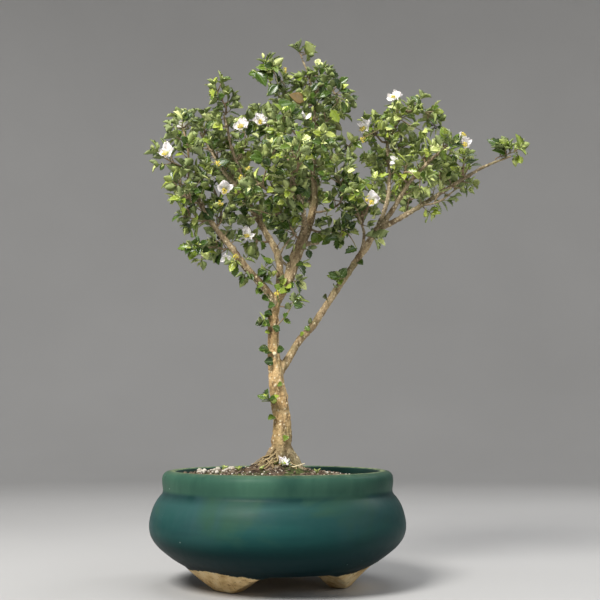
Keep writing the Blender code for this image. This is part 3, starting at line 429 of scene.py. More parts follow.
def square_to(axis, way):
    """The part of a way that is square to an axis."""
    return (way - axis * way.dot(axis)).normalized()


def nearest(points, target):
    return min(points, key=lambda point: (point - target).length)


def foot_on(a, b, target):
    """How far from a to b the foot of a target lies, from 0 to 1."""
    return max(0.0, min(1.0, (target - a).dot(b - a) / (b - a).length_squared))


def read_off(table, value):
    """A table's second number where its first is a value, straight between its rows."""
    for (near, low), (far, high) in zip(table, table[1:]):
        if value <= far:
            return low + (high - low) * (value - near) / (far - near)
    return table[-1][1]


def segments(rows):
    """The two ends and the two radii of each stretch between rows of x, y, z and radius."""
    for (*a, ra), (*b, rb) in zip(rows, rows[1:]):
        yield Vector(a), Vector(b), ra, rb


def blend(a, b, c, d, t):
    """A Catmull-Rom curve's value between b and c, with a before them and d after them."""
    bend = 2 * a - 5 * b + 4 * c - d
    twist = 3 * (b - c) + d - a
    return b + 0.5 * t * (c - a + t * (bend + t * twist))


def smooth(route, spacing):
    """Rows about `spacing` apart on a smooth curve through the rows of a route."""
    rows = [tuple(map(float, row)) for row in route]
    first, last = [tuple(2 * a - b for a, b in zip(*pair)) for pair in (rows[:2], rows[:-3:-1])]
    knots = [first, *rows, last]
    out = []
    for part in zip(knots, knots[1:], knots[2:], knots[3:]):
        length = hypot(*(b - a for a, b in zip(part[1][:3], part[2][:3])))
        steps = max(1, round(length / spacing))
        for step in range(steps):
            out.append(tuple(blend(*values, step / steps) for values in zip(*part)))
    return [*out, rows[-1]]


# Faces


def ring_faces(rings, count, first=0, flip=False, closed=False):
    """The faces between rings of points that follow one another, back to the first ring where closed."""
    faces = []
    for ring in range(rings if closed else rings - 1):
        a, b = first + ring * count, first + (ring + 1) % rings * count
        for k in range(count):
            n = (k + 1) % count
            faces.append((a + k, b + k, b + n, a + n) if flip else (a + k, a + n, b + n, b + k))
    return faces


def prism(start, end, radius, sides=4):
    axis = heading(start, end)
    across = axis.orthogonal().normalized()
    side = axis.cross(across)
    ring = [across * x + side * y for x, y in circle(radius, sides)]
    caps = [tuple(range(sides)), tuple(range(sides, 2 * sides))]
    return [start + r for r in ring] + [end + r for r in ring], ring_faces(2, sides) + caps


# Plan of the foliage, as in the part


class Room:
    """The shells in place, each listed in every cell that its box reaches."""

    def __init__(self):
        self.cells = {}

    def near(self, points):
        return product(*(range(int(min(row) // CELL), int(max(row) // CELL) + 1) for row in zip(*points)))

    def take(self, shell, owner=None):
        entry = (owner, BVHTree.FromPolygons(*shell))
        for cell in self.near(shell[0]):
            self.cells.setdefault(cell, []).append(entry)

    def free(self, shell, owner=None):
        """Whether a shell meets no other but those of its own owner."""
        tree = BVHTree.FromPolygons(*shell)
        near = {id(entry): entry for cell in self.near(shell[0]) for entry in self.cells.get(cell, ())}
        others = [other for holder, other in near.values() if holder is None or holder is not owner]
        return not any(tree.overlap(other) for other in others)


@dataclass(eq=False)
class Leaf:
    """A leaf from its base, with unit vectors along it, across its blade and through it."""

    base: Vector
    along: Vector
    wide: Vector
    thick: Vector
    length: float

    def body(self, start=PETIOLE_LENGTH, margin=0.0):
        """The leaf as it is built beyond its start, with a margin round it."""
        broadest = (0.5 * self.length, LEAF_HALF_WIDTH * self.length, LEAF_HALF_THICKNESS)
        points = []
        for at, half_wide, half_thick in ((start, PETIOLE_RADIUS, PETIOLE_RADIUS), broadest):
            centre = self.base + self.along * at
            wide, thick = self.wide * (half_wide + margin), self.thick * (half_thick + margin)
            points += [centre + wide * a + thick * b for a, b in CORNERS]
        points.append(self.base + self.along * (self.length + margin))
        point_faces = [(4 + k, 4 + (k + 1) % 4, 8) for k in range(4)]
        return points, [(3, 2, 1, 0), *ring_faces(2, 4), *point_faces]

    def shell(self):
        return self.body(0.5 * PETIOLE_LENGTH, LEAF_MARGIN)


@dataclass(eq=False)
class Twig:
    """A twig: the nodes of its path, which of them bear leaves or twigs, and what grows on their sides."""

    path: list
    radius: float
    bears: list
    across: Vector = None
    growth: dict = field(default_factory=dict)

    def frames(self):
        """The direction, and the two directions across, at each point of the path."""
        out = []
        across = self.across
        for index, point in enumerate(self.path):
            last = min(index, len(self.path) - 2)
            along = heading(self.path[last], self.path[last + 1])
            if index and index < len(self.path) - 1:
                along = (along + heading(self.path[index - 1], point)).normalized()
            if across is None:
                across = along.cross(UP if abs(along.z) < 0.9 else Vector((1, 0, 0)))
            across = square_to(along, across)
            out.append((along, across, along.cross(across)))
        return out

    def tip_way(self):
        return heading(*self.path[-2:])

    def bud(self):
        """The tip of the bud beyond the last node."""
        return self.path[-1] + self.tip_way() * (NODE_LENGTH + BUD_LENGTH * self.radius)

    def side_twigs(self):
        return [grown for grown in self.growth.values() if isinstance(grown, Twig)]

    def shells(self):
        start = self.path[0] + heading(*self.path[:2]) * SHELL_START
        ends = [start, *self.path[1:], self.bud()]
        radius = TWIG_SHELL * self.radius + SHELL_MARGIN
        return [prism(a, b, radius, 6) for a, b in zip(ends, ends[1:])]

    def meets(self, shell):
        """Whether a shell runs into the twig's own stem or leaves."""
        tree = BVHTree.FromPolygons(*shell)
        ends = [*self.path, self.bud()]
        bodies = [prism(a, b, self.radius * TWIG_CORNER) for a, b in zip(ends, ends[1:])]
        bodies += [grown.body() for grown in self.growth.values() if isinstance(grown, Leaf)]
        return any(tree.overlap(BVHTree.FromPolygons(*body)) for body in bodies)


def twigs_of(sprays):
    for _, main, _ in sprays:
        yield from (main, *main.side_twigs())


def nearest_pad(pads, point):
    return min(pads, key=lambda pad: (Vector(pad[:3]) - point).length)


def sides_of(ways):
    _, across, other = ways
    return [across, other, -across, -other]


def side_of_node(twig, node, side):
    """The way along the twig and out of one side of a node, and the middle of that side."""
    ways = twig.frames()[node]
    forward, outward = ways[0], sides_of(ways)[side]
    middle = twig.path[node] + forward * (NODE_LENGTH / 2) + outward * (twig.radius * TWIG_SIDE)
    return forward, outward, middle


def growing_way(rng, outward, forward, angle, lift, reach):
    """A way out of a stem, turned towards its tip by an angle, lifted and with a wobble."""
    tilt = radians(angle)
    return (outward * cos(tilt) + forward * sin(tilt) + UP * lift + wobble(rng, reach)).normalized()


def plan_leaf(rng, base, outward, forward, size, rise):
    along = growing_way(rng, outward, forward, rise + rng.uniform(-12, 12), 0.12, 0.16)
    lack = max(0.0, LEAST_OUTWARD - along.dot(outward))
    along = (along + outward * (LACK_MADE_UP * lack)).normalized()
    wide = turned(square_to(along, forward.cross(outward)), radians(rng.uniform(-26, 26)), along)
    return Leaf(base, along, wide, along.cross(wide), size)


def grow_leaf(rng, room, twig, node, side):
    """Puts a leaf on one side of a node where there is room for it."""
    forward, outward, base = side_of_node(twig, node, side)
    for scale in LEAF_SCALES:
        size = rng.uniform(*LEAF_LENGTH) * scale
        leaf = plan_leaf(rng, base, outward, forward, size, LEAF_RISES[side % 2])
        if room.free(leaf.shell(), twig) and not twig.meets(leaf.body()):
            room.take(leaf.shell(), leaf)
            twig.growth[node, side] = leaf
            return


def nearest_on(rows, target):
    """The nearest point of a limb to a target, with its radius and direction there."""
    found = []
    for a, b, ra, rb in segments(rows):
        t = foot_on(a, b, target)
        found.append((a.lerp(b, t), ra + (rb - ra) * t, heading(a, b)))
    return min(found, key=lambda place: (place[0] - target).length)


def eased(path):
    """A path with each sharp turn drawn in between its neighbours."""
    for _ in range(EASING_ROUNDS):
        for k in range(1, len(path) - 1):
            if (path[k] - path[k - 1]).angle(path[k + 1] - path[k]) > SHARPEST_TURN:
                path[k] = path[k].lerp((path[k - 1] + path[k + 1]) / 2, 0.3)
    return path


def plan_main_twig(rng, room, rows, pads):
    """A twig from its limb through the middle of each pad, clear of what is there already."""
    middles = [Vector(pad[:3]) for pad in pads]
    first, reach = middles[0], pads[0][3]
    radius = TWIG_RADIUS if reach > SPROUT_REACH else SIDE_TWIG_RADIUS
    for attempt in range(MAIN_TWIG_TRIES):
        wander = [wobble(rng, 0.15 * attempt) for _ in range(len(pads) + 2)]
        aim = first - UP * (0.7 * reach) + wander[0] * 3
        root, limb_radius, direction = nearest_on(rows, aim)
        out = square_to(direction, first - root)
        start = root + out * (limb_radius + CLEARANCE)
        stops = [middle + move for middle, move in zip(middles, wander[1:])]
        onward = heading(stops[-2] if len(stops) > 1 else start, stops[-1])
        stops.append(stops[-1] + (onward + UP * 0.3).normalized() * (0.5 * pads[-1][3]))
        near = max(2.0, min(4.0, 0.4 * (stops[0] - start).length))
        path = eased([Vector(row) for row in smooth([start, start + out * near, *stops], INTERNODE)])
        path[0] = start + out * (TWIG_CORNER * radius * sin((path[1] - start).angle(out)))
        bears = [any((p - mid).length < 0.8 * pad[3] for mid, pad in zip(middles, pads)) for p in path]
        bears[:2] = [False, len(path) == 3]
        bears[-1] = True
        twig = Twig(path, radius, bears)
        if all(room.free(shell) for shell in twig.shells()):
            return twig
    raise ValueError(f"no room for the twig to {pads}")


def plan_side_twig(rng, room, twig, node, side, reach):
    """A short twig on one side of a node, with a cluster of four leaves at its end."""
    forward, outward, base = side_of_node(twig, node, side)
    for _ in range(SIDE_TWIG_TRIES):
        along = growing_way(rng, outward, forward, rng.uniform(15, 50), 0.15, 0.2)
        path = [base, base + along * (reach * rng.uniform(0.5, 0.8))]
        side_twig = Twig(path, SIDE_TWIG_RADIUS, [False, True], forward.cross(outward))
        stem = prism(base + along * TWIG_START, side_twig.bud(), TWIG_CORNER * SIDE_TWIG_RADIUS)
        if not twig.meets(stem) and all(room.free(shell, twig) for shell in side_twig.shells()):
            twig.growth[node, side] = side_twig
            for shell in side_twig.shells():
                room.take(shell, side_twig)
            return side_twig
    return None


def take_limbs_and_flowers(room, limbs):
    for rows in limbs.values():
        for a, b, ra, rb in segments(rows):
            room.take(prism(a, b, max(ra, rb) + SHELL_MARGIN, 8))
    below, above, radius = FLOWER_ROOM
    for middle, facing in FLOWERS:
        axis, middle = Vector(facing).normalized(), Vector(middle)
        room.take(prism(middle + axis * below, middle + axis * above, radius, 8))


def leafy_sides(node, last):
    """The sides of a main twig's node that bear leaves: all at its tip, and two of the others elsewhere."""
    return range(4) if node == last else ((node + 3) % 4, node % 4)


def plan_foliage(limbs):
    """Every spray's twigs and leaves, and each flower's stalk."""
    room = Room()
    take_limbs_and_flowers(room, limbs)
    sprays = []
    planned = [(limb, pads) for limb, group in SPRAYS for pads in group]
    for index, (limb, pads) in enumerate(planned):
        rng = Random(TWIG_SEED + index)
        main = plan_main_twig(rng, room, limbs[limb], pads)
        for shell in main.shells():
            room.take(shell, main)
        sprays.append((rng, main, pads))
    clusters = []
    for rng, main, pads in sprays:
        for node, point in enumerate(main.path[:-1]):
            reach = nearest_pad(pads, point)[3]
            if main.bears[node] and reach > SPROUT_REACH:
                twig = plan_side_twig(rng, room, main, node, (node + 1) % 4, reach)
                clusters += [(rng, twig)] if twig else []
    stalks = [plan_stalk(room, sprays, limbs, *flower) for flower in FLOWERS]
    for rng, twig in clusters:
        for side in range(4):
            grow_leaf(rng, room, twig, 1, side)
    for rng, main, _ in sprays:
        last = len(main.path) - 1
        for node in range(1, last + 1):
            for side in leafy_sides(node, last):
                if main.bears[node] and (node, side) not in main.growth:
                    grow_leaf(rng, room, main, node, side)
    return room, sprays, stalks


def all_segments(sprays, limbs):
    for twig in twigs_of(sprays):
        for a, b in zip(twig.path, twig.path[1:]):
            yield a, b, twig.radius, twig
    for rows in limbs.values():
        for a, b, ra, rb in segments(rows):
            yield a, b, max(ra, rb), None


def plan_stalk(room, sprays, limbs, middle, facing):
    """Where a flower's stalk meets the nearest twig behind it."""
    axis = Vector(facing).normalized()
    back = Vector(middle) - axis * STALK_START
    options = []
    for a, b, radius, twig in all_segments(sprays, limbs):
        for t in STALK_PLACES:
            target = a.lerp(b, t)
            gap = target - back
            way = gap.normalized()
            slant = abs(way.dot(heading(a, b)))
            if gap.length > STALK_LEAST and way.dot(-axis) > 0.1 and slant < STALK_SLANT:
                options.append((gap.length, radius, target, twig, slant))
    options.sort(key=lambda option: option[0])
    for _, radius, target, twig, slant in options[:STALK_TRIES]:
        way = heading(back, target)
        stop = (TWIG_CORNER * radius + PEDICEL_RADIUS * slant + CLEARANCE) / cos(asin(slant))
        end = target - way * stop
        shell = prism(back + way * 1.2, end, PEDICEL_RADIUS + 0.1)
        if room.free(shell, twig):
            room.take(shell)
            return end
    raise ValueError(f"no twig for the flower at {middle}")


# Finer growth between the part's own twigs. A shoot is its path and its leaves.


def grow_shoot(rng, room, start, end):
    """A thin shoot with up to eight leaves, each where there is room for it."""
    along = heading(start, end)
    across = along.orthogonal().normalized()
    turn = rng.uniform(0, tau)
    leaves = []
    for step, at in enumerate(SHOOT_LEAVES):
        out = turned(across, turn + step * LEAF_TURN, along)
        size = rng.uniform(*SHOOT_LEAF_LENGTH) * (0.8 if at == 1 else 1.0)
        leaf = plan_leaf(rng, start.lerp(end, at), out, along, size, 58 if at == 1 else 30)
        if room.free(leaf.body()):
            room.take(leaf.body(), leaf)
            leaves.append(leaf)
    return ([start, start.lerp(end, 0.5) - UP * 0.4, end], leaves) if len(leaves) > 1 else None


def plan_shoot(rng, room, start, outward, forward, reach, pads=()):
    """A shoot to one side of a stem, turned until there is room for it and its end lies in a pad."""
    for _ in range(SHOOT_TRIES):
        along = growing_way(rng, outward, forward, rng.uniform(0, 60), 0.2, 0.3)
        end = start + along * (reach * rng.uniform(0.55, 1.0))
        inside = any((Vector(pad[:3]) - end).length < SHOOT_SPREAD * pad[3] for pad in pads)
        if (inside or not pads) and room.free(prism(start.lerp(end, 0.3), end, 0.4)):
            shoot = grow_shoot(rng, room, start, end)
            if shoot:
                return shoot
    return None


def plan_shoots(rng, room, main, pads):
    """Shoots from between the nodes of a main twig, and from the sides of its side twigs."""
    shoots = []
    frames = main.frames()
    for node in range(1, len(main.path)):
        middle = main.path[node - 1].lerp(main.path[node], 0.5)
        pad = nearest_pad(pads, middle)
        if pad[3] <= SPROUT_REACH or (middle - Vector(pad[:3])).length > 1.25 * pad[3]:
            continue
        first = rng.randrange(4)
        for side in range(first, first + 4):
            outward = sides_of(frames[node])[side % 4]
            start = middle + outward * (main.radius * 0.6)
            shoots.append(plan_shoot(rng, room, start, outward, frames[node][0], pad[3], pads))
    for twig in main.side_twigs():
        ways = twig.frames()[0]
        middle = twig.path[0].lerp(twig.path[1], 0.5)
        for outward in sides_of(ways):
            shoots.append(plan_shoot(rng, room, middle, outward, ways[0], SIDE_SHOOT_REACH, pads))
    return shoots


def plan_limb_shoots(rng, room):
    """Shoots straight from the upper parts of the limbs, on all sides of them."""
    shoots = []
    for name, (lowest, highest) in LEAFY_LIMBS.items():
        for start, after, radius, _ in segments(smooth(LIMBS[name], LIMB_SHOOT_SPACING)):
            if not lowest < start.z < highest:
                continue
            forward = heading(start, after)
            across = forward.orthogonal().normalized()
            first = rng.uniform(0, tau)
            for k in range(LIMB_SHOOTS_ROUND):
                outward = turned(across, first + tau * k / LIMB_SHOOTS_ROUND, forward)
                root = start + outward * (0.7 * radius)
                shoots.append(plan_shoot(rng, room, root, outward, forward, LIMB_SHOOT_REACH))
    return shoots


def keep_views(room):
    """Takes thin sheets of room in front of the limbs, so that no shoot grows across them."""
    for name, lowest, highest in SHOWN_LIMBS:
        rows = [row for row in smooth(LIMBS[name], VIEW_SPACING) if lowest <= row[2] <= highest]
        for near, far, radius, _ in segments(rows):
            front = heading(near, Vector(CAMERA_PLACE))
            across = (far - near).cross(front).normalized() * (radius + VIEW_HALF_WIDTH)
            start, depth = front * (radius + VIEW_START), front * VIEW_DEPTH
            corners = [near + start, far + start, far + depth, near + depth]
            points = [corner + shift for shift in (-across, Vector(), across) for corner in corners]
            room.take((points, [(0, 1, 2, 3), (4, 5, 6, 7), (8, 9, 10, 11)]))


def nearest_twig(sprays, point):
    """The nearest place on any planned twig."""
    stems = [stem for twig in twigs_of(sprays) for stem in zip(twig.path, twig.path[1:])]
    return nearest([a.lerp(b, foot_on(a, b, point)) for a, b in stems], point)


def plan_fills(rng, room, sprays, limbs):
    """Shoots that close the gaps of the crown, each from the nearest twig or limb."""
    shoots = []
    for aim in map(Vector, FILLS):
        on_limbs = [nearest_on(rows, aim)[0] for rows in limbs.values()]
        root = nearest([nearest_twig(sprays, aim), *on_limbs], aim)
        end = aim if (aim - root).length > FILL_LEAST else root + heading(root, aim) * FILL_LEAST
        shoots.append(grow_shoot(rng, room, root, end))
    return shoots


def facing_leaf(rng, base, middle, length):
    """A leaf from its base through a point in front of it, with its upper side to the front."""
    along = heading(base, Vector(middle))
    facing = Vector((rng.uniform(-0.5, 0.3), -1, rng.uniform(0.1, 0.8)))
    wide = facing.cross(along).normalized()
    return Leaf(base, along, wide, along.cross(wide), length)


def plan_bark_leaf(rng, limbs, middle, length):
    """A leaf whose stalk springs from the nearest bark, or that lies along it where it is in front."""
    middle = Vector(middle)
    near = [nearest_on(rows, middle) for rows in limbs.values()]
    root, radius, _ = min(near, key=lambda found: (found[0] - middle).length - found[1])
    if abs(middle.x - root.x) > radius:
        base = root + heading(root, middle) * (0.9 * radius)
        return facing_leaf(rng, base, middle, length)
    side = Vector((rng.choice((-0.34, 0.34)), 0, rng.uniform(-0.4, 0.4))) * length
    base = Vector((middle.x - side.x, root.y - 0.9 * radius, middle.z - side.z))
    return facing_leaf(rng, base, Vector((middle.x, base.y - 1.4, middle.z)), length)


# Shapes


class Shape:
    """The points and faces of one piece, with what its materials read at each."""

    def __init__(self):
        self.points = []
        self.places = []
        self.faces = []
        self.marks = []
        self.unders = []
        self.count = 0

    def add(self, points, faces, places=(0, 0, 0), mark=0, unders=None):
        points = np.asarray(points, float)
        self.points.append(points)
        self.places.append(np.broadcast_to(np.asarray(places, float), (len(points), 3)))
        self.faces += [tuple(i + self.count for i in face) for face in faces]
        self.marks += [mark] * len(faces)
        self.unders += unders or [0.0] * len(faces)
        self.count += len(points)

    def join(self, other):
        """Takes in everything that another shape holds."""
        self.points += other.points
        self.places += other.places
        self.faces += [tuple(i + self.count for i in face) for face in other.faces]
        self.marks += other.marks
        self.unders += other.unders
        self.count += other.count

    def move(self, matrix):
        """Moves every point that the shape holds so far."""
        turn = np.array(matrix.to_3x3())
        shift = np.array(matrix.translation)
        self.points = [points @ turn.T + shift for points in self.points]

    def build(self, name, materials, slot, *replaced):
        mesh = bpy.data.meshes.new(name)
        mesh.from_pydata((np.vstack(self.points) * MM + np.array(AXIS)).tolist(), [], self.faces)
        mesh.polygons.foreach_set("material_index", self.marks)
        settle(mesh, name, np.vstack(self.places).ravel(), materials, slot, *replaced)
        under = mesh.attributes.new("under", "FLOAT", "FACE")
        under.data.foreach_set("value", self.unders)


def add_object(name, data):
    obj = bpy.data.objects.new(name, data)
    bpy.context.scene.collection.objects.link(obj)
    return obj


def settle(mesh, name, places, materials, slot, *replaced):
    """Puts a mesh into the scene as a piece."""
    place = mesh.attributes.new("place", "FLOAT_VECTOR", "POINT")
    place.data.foreach_set("vector", places)
    for material in materials:
        mesh.materials.append(material)
    mesh.shade_smooth()
    obj = add_object(name, mesh)
    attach(obj, "root")
    if replaced:
        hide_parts(*replaced)


def ring_frames(points):
    """Two directions across a path at each of its points, turned no more than the path turns."""
    ways = [heading(a, b) for a, b in zip(points, points[1:])]
    ways = [ways[0], *((a + b).normalized() for a, b in zip(ways, ways[1:])), ways[-1]]
    across = ways[0].orthogonal().normalized()
    out = []
    for way in ways:
        across = square_to(way, across)
        out.append((across, way.cross(across)))
    return out


def tube(shape, rows, sides, places=(0, 0, 0), mark=0):
    """A closed round tube along rows of x, y, z and radius."""
    points = []
    centres = [Vector(row[:3]) for row in rows]
    for centre, row, (across, other) in zip(centres, rows, ring_frames(centres)):
        points += [tuple(centre + across * x + other * y) for x, y in circle(row[3], sides)]
    last = (len(rows) - 1) * sides
    caps = [tuple(reversed(range(sides))), tuple(range(last, last + sides))]
    shape.add(points, [caps[0], *ring_faces(len(rows), sides), caps[1]], places, mark)


def ball(shape, centre, radius, squash=1.0, places=(0, 0, 0), mark=0, sides=8, rings=4):
    """A closed ball, flattened along Z by a share."""
    cx, cy, cz = centre
    points = [(cx, cy, cz - radius * squash)]
    for ring in range(1, rings):
        tilt = pi * ring / rings
        z = cz - radius * squash * cos(tilt)
        points += [(cx + x, cy + y, z) for x, y in circle(radius * sin(tilt), sides, 0.5 * (ring % 2))]
    points.append((cx, cy, cz + radius * squash))
    last, top = 1 + (rings - 2) * sides, len(points) - 1
    faces = [(0, 1 + (k + 1) % sides, 1 + k) for k in range(sides)]
    faces += ring_faces(rings - 1, sides, 1)
    faces += [(last + k, last + (k + 1) % sides, top) for k in range(sides)]
    shape.add(points, faces, places, mark)


def disc(sides):
    """The faces from a middle point to the first ring round it."""
    return [(0, 1 + k, 1 + (k + 1) % sides) for k in range(sides)]


LEAF_FACES = [tuple(range(RING))]
LEAF_FACES += [(n, a, b, m) for a, b, m, n in ring_faces(LEAF_STATIONS + 1, RING, flip=True)]
LEAF_FACES.append(tuple(reversed(range(RING * LEAF_STATIONS, RING * LEAF_STATIONS + RING))))
LEAF_UNDERS = [1.0, *([0.0, 0.0, 0.0, 0.0, 1.0, 1.0] * LEAF_STATIONS), 1.0]


def add_leaf(shape, rng, leaf, tone, young=False, plump=False):
    """A leaf with a stalk, a folded blade, spines along its edge and a thin lens section."""
    wide, thick = leaf.wide, leaf.thick
    if thick.z < -0.25:
        wide, thick = -wide, -thick
    half = LEAF_HALF_WIDTH * leaf.length * (0.55 if young else rng.uniform(0.74, 1.1))
    fullness = rng.uniform(0.68, 0.9)
    spine = rng.choice(SPINES)
    fold = rng.uniform(0.15, 0.75)
    curl = rng.uniform(-0.05, 0.28)
    twist = rng.uniform(-0.35, 0.35)
    depth = 0.22 if young else 0.34
    if plump:
        half, fullness, spine = LEAF_HALF_WIDTH * leaf.length * 1.2, 0.95, SPINES[0]
    bluntness = 0.5 if plump else 0.66
    points, places = [], []
    for station in range(LEAF_STATIONS + 1):
        t = station / LEAF_STATIONS
        s = max(0.0, (t - 0.1) / 0.9)
        blade = max(sin(pi * min(1.0, s**fullness)), 0.0) ** bluntness * (1.08 - 0.3 * s * s)
        tooth = 1 + spine * (1.0 if station % 2 else -0.6)
        reach = max(half * blade * tooth, 0.28 if t < 0.15 else 0.1)
        lean = spine * (0.35 if station % 2 else 0.0) * leaf.length
        for out, below in LEAF_RING:
            side = out * reach
            height = fold * abs(side) - curl * s * s * leaf.length + twist * side * s
            height += 0.12 * sin(2.4 * abs(side)) * blade
            height -= below * depth
            ahead = min(t * leaf.length + (lean if abs(out) == 1 else 0), leaf.length * 1.02)
            points.append(tuple(leaf.base + leaf.along * ahead + wide * side + thick * height))
            places.append((t, out, tone))
    shape.add(points, LEAF_FACES, places, BLADE, LEAF_UNDERS)


def leaf_tone_and_painted_light(rng, point):
    """How young a leaf looks: deep green outside, and bright ones, with more of them inside and on the right
    as painted light.
    """
    # Painted light: more bright leaves in the middle of the crown, as light shining through them, and
    # lighter ones on the right
    inside = max(0.0, 1 - hypot((point.x - 10) / 90, (point.z - 330) / 70))
    right = 1.0 if point.x > PAINTED_LIGHT_RIGHT_X else 0.0
    if rng.random() < DRY_SHARE:
        return DRY_TONE
    if rng.random() < 0.2 + 0.2 * inside + 0.2 * right:
        return rng.uniform(0.5, 1.0)
    return rng.betavariate(1.0, 2.3) * 0.68 + 0.1 * right


def add_tip(shape, rng, end, along):
    """Two or three small young leaves at the end of a shoot."""
    across = along.orthogonal().normalized()
    turn = rng.uniform(0, tau)
    for step in range(rng.choice((2, 3, 3))):
        out = turned(across, turn + step * TIP_TURN, along)
        leaf = plan_leaf(rng, end, out, along, rng.uniform(3.2, 5.6), 62)
        add_leaf(shape, rng, leaf, rng.uniform(0.75, 1.0), young=True)


def add_stem(shape, rng, path, thick, thin):
    """A thin stem through a path, narrower towards its end and swollen a little at each node."""
    rows = smooth(path, 3.2)
    count = len(rows) - 1
    stem = []
    for index, row in enumerate(rows):
        radius = thick + (thin - thick) * index / count
        radius *= 1 + 0.1 * sin(index * 1.9 + row[0]) + rng.uniform(-0.05, 0.05)
        stem.append((*row, radius))
    tone = rng.random()
    places = [(index / count, 0, tone) for index in range(count + 1) for _ in range(TWIG_CORNERS)]
    tube(shape, stem, TWIG_CORNERS, places, WOOD)


def add_leaves(shape, rng, leaves):
    for leaf in leaves:
        add_leaf(shape, rng, leaf, leaf_tone_and_painted_light(rng, leaf.base))


def add_shoots(shape, rng, shoots):
    for path, leaves in filter(None, shoots):
        add_stem(shape, rng, path, 0.5, 0.3)
        if rng.random() < 0.4:
            add_tip(shape, rng, path[-1], heading(*path[-2:]))
        add_leaves(shape, rng, leaves)


def add_twig(shape, rng, twig, thick, thin):
    add_stem(shape, rng, [*twig.path, twig.bud()], thick, thin)
    add_tip(shape, rng, twig.bud(), twig.tip_way())


def build_spray(index, main, shoots, materials):
    rng = Random(SPRAY_SEED + index)
    shape = Shape()
    add_twig(shape, rng, main, main.radius * 0.92, main.radius * 0.5)
    for grown in main.growth.values():
        if isinstance(grown, Leaf):
            add_leaves(shape, rng, [grown])
        else:
            add_twig(shape, rng, grown, 0.6, 0.38)
            add_leaves(shape, rng, grown.growth.values())
    add_shoots(shape, rng, shoots)
    shape.build(f"leafy_twig_{index:02d}", materials, "leaf", f"spray_{index:02d}")


def build_shoots(name, seed, shoots, materials):
    shape = Shape()
    add_shoots(shape, Random(seed), shoots)
    shape.build(name, materials, "leaf")


def build_placed_leaves(sprays, limbs, materials):
    """Leaves on the trunk and limbs, a shoot beside the fork, large leaves and a cut stub's pale end."""
    rng = Random(PLACED_SEED)
    shape = Shape()
    for *middle, length, tone in BARK_LEAVES:
        add_leaf(shape, rng, plan_bark_leaf(rng, limbs, middle, length), tone, plump=True)
    path = [Vector(point) for point in FORK_SHOOT]
    add_stem(shape, rng, path, 0.7, 0.4)
    for *middle, length, tone in FORK_SHOOT_LEAVES:
        base = nearest(path, Vector(middle))
        add_leaf(shape, rng, facing_leaf(rng, base, middle, length), tone)
    for *middle, length, tone in LARGE_LEAVES:
        middle = Vector(middle)
        root = nearest_twig(sprays, middle)
        slant = Vector((rng.choice((-1.2, 1.2)), 0, rng.uniform(-0.4, 0.8)))
        way = (heading(root, middle) + slant).normalized()
        base = middle - way * (0.5 * length)
        add_stem(shape, rng, [root, root.lerp(base, 0.6) + UP * 0.6, base + way * 0.8], 0.5, 0.4)
        add_leaf(shape, rng, facing_leaf(rng, base, middle, length), tone)
    tube(shape, CUT_END, 10, (0.2, 0, CUT_WOOD_TONE), WOOD)
    shape.build("placed_leaves", materials, "leaf")


# Flowers


def add_petal(shape, rng, turn, length, rise):
    """A crumpled petal with a frilled edge, leaning out of the flower's middle along +X before it turns."""
    points, places = [], []
    phase = rng.uniform(0, tau)
    cup = rng.uniform(0.1, 0.5)
    slant = rng.uniform(-0.25, 0.25)
    half = 0.52 * length * rng.uniform(0.85, 1.15)
    for side_of_petal in (0.0, -PETAL_THICKNESS):
        for station in range(PETAL_STATIONS + 1):
            t = station / PETAL_STATIONS
            width = half * sin(pi * (0.12 + 0.8 * t**0.9)) ** 0.8
            for column in range(PETAL_COLUMNS):
                c = 2 * column / (PETAL_COLUMNS - 1) - 1
                frill = t * t * (0.75 * sin(4.7 * c + phase) + 0.5 * sin(10.5 * c + 2 * phase) * t)
                x = 0.7 + length * t * (1 - 0.16 * c * c + 0.05 * sin(8 * c + phase))
                y = width * c
                z = length * t * (rise * (1 - 0.4 * t) + cup * c * c + slant * c) + frill + side_of_petal
                points.append((x * cos(turn) - y * sin(turn), x * sin(turn) + y * cos(turn), z + 0.6))
                places.append((t, c, rng.random() * 0.1))
    size = (PETAL_STATIONS + 1) * PETAL_COLUMNS
    faces = []
    for station in range(PETAL_STATIONS):
        for a in range(station * PETAL_COLUMNS, (station + 1) * PETAL_COLUMNS - 1):
            b = a + PETAL_COLUMNS
            faces += [(a, b, b + 1, a + 1), (size + a, size + a + 1, size + b + 1, size + b)]
    rim = [*range(PETAL_COLUMNS), *range(2 * PETAL_COLUMNS - 1, size, PETAL_COLUMNS)]
    rim += range(size - 2, size - PETAL_COLUMNS - 1, -1)
    rim += range(size - 2 * PETAL_COLUMNS, 0, -PETAL_COLUMNS)
    faces += [(a, b, size + b, size + a) for a, b in zip(rim, rim[1:] + rim[:1])]
    shape.add(points, faces, places, PETAL)


def add_stamens(shape, rng, count, spread, reach=3.4, lean_to=(0.0, 0.0)):
    """A tuft of thin pale filaments with yellow anthers, leaning one way."""
    for _ in range(count):
        turn = rng.uniform(0, tau)
        lean = spread * sqrt(rng.random())
        height = rng.uniform(0.5, 1.0) * reach
        share = height / reach
        x = lean * cos(turn) * 1.5 + lean_to[0] * share
        y = lean * sin(turn) * 1.5 + lean_to[1] * share
        tip = (x, y, 0.6 + height)
        rows = [(0.25 * cos(turn), 0.25 * sin(turn), 0.3, 0.12), (*tip, 0.09)]
        tube(shape, rows, 4, (0, 0, FILAMENT_TONE), STAMEN)
        ball(shape, tip, rng.uniform(0.34, 0.52), 0.9, (0, 0, rng.random()), STAMEN, 6)


def place_of(middle, facing):
    turn = Vector(facing).to_track_quat("Z", "Y").to_matrix().to_4x4()
    return Matrix.Translation(middle) @ turn


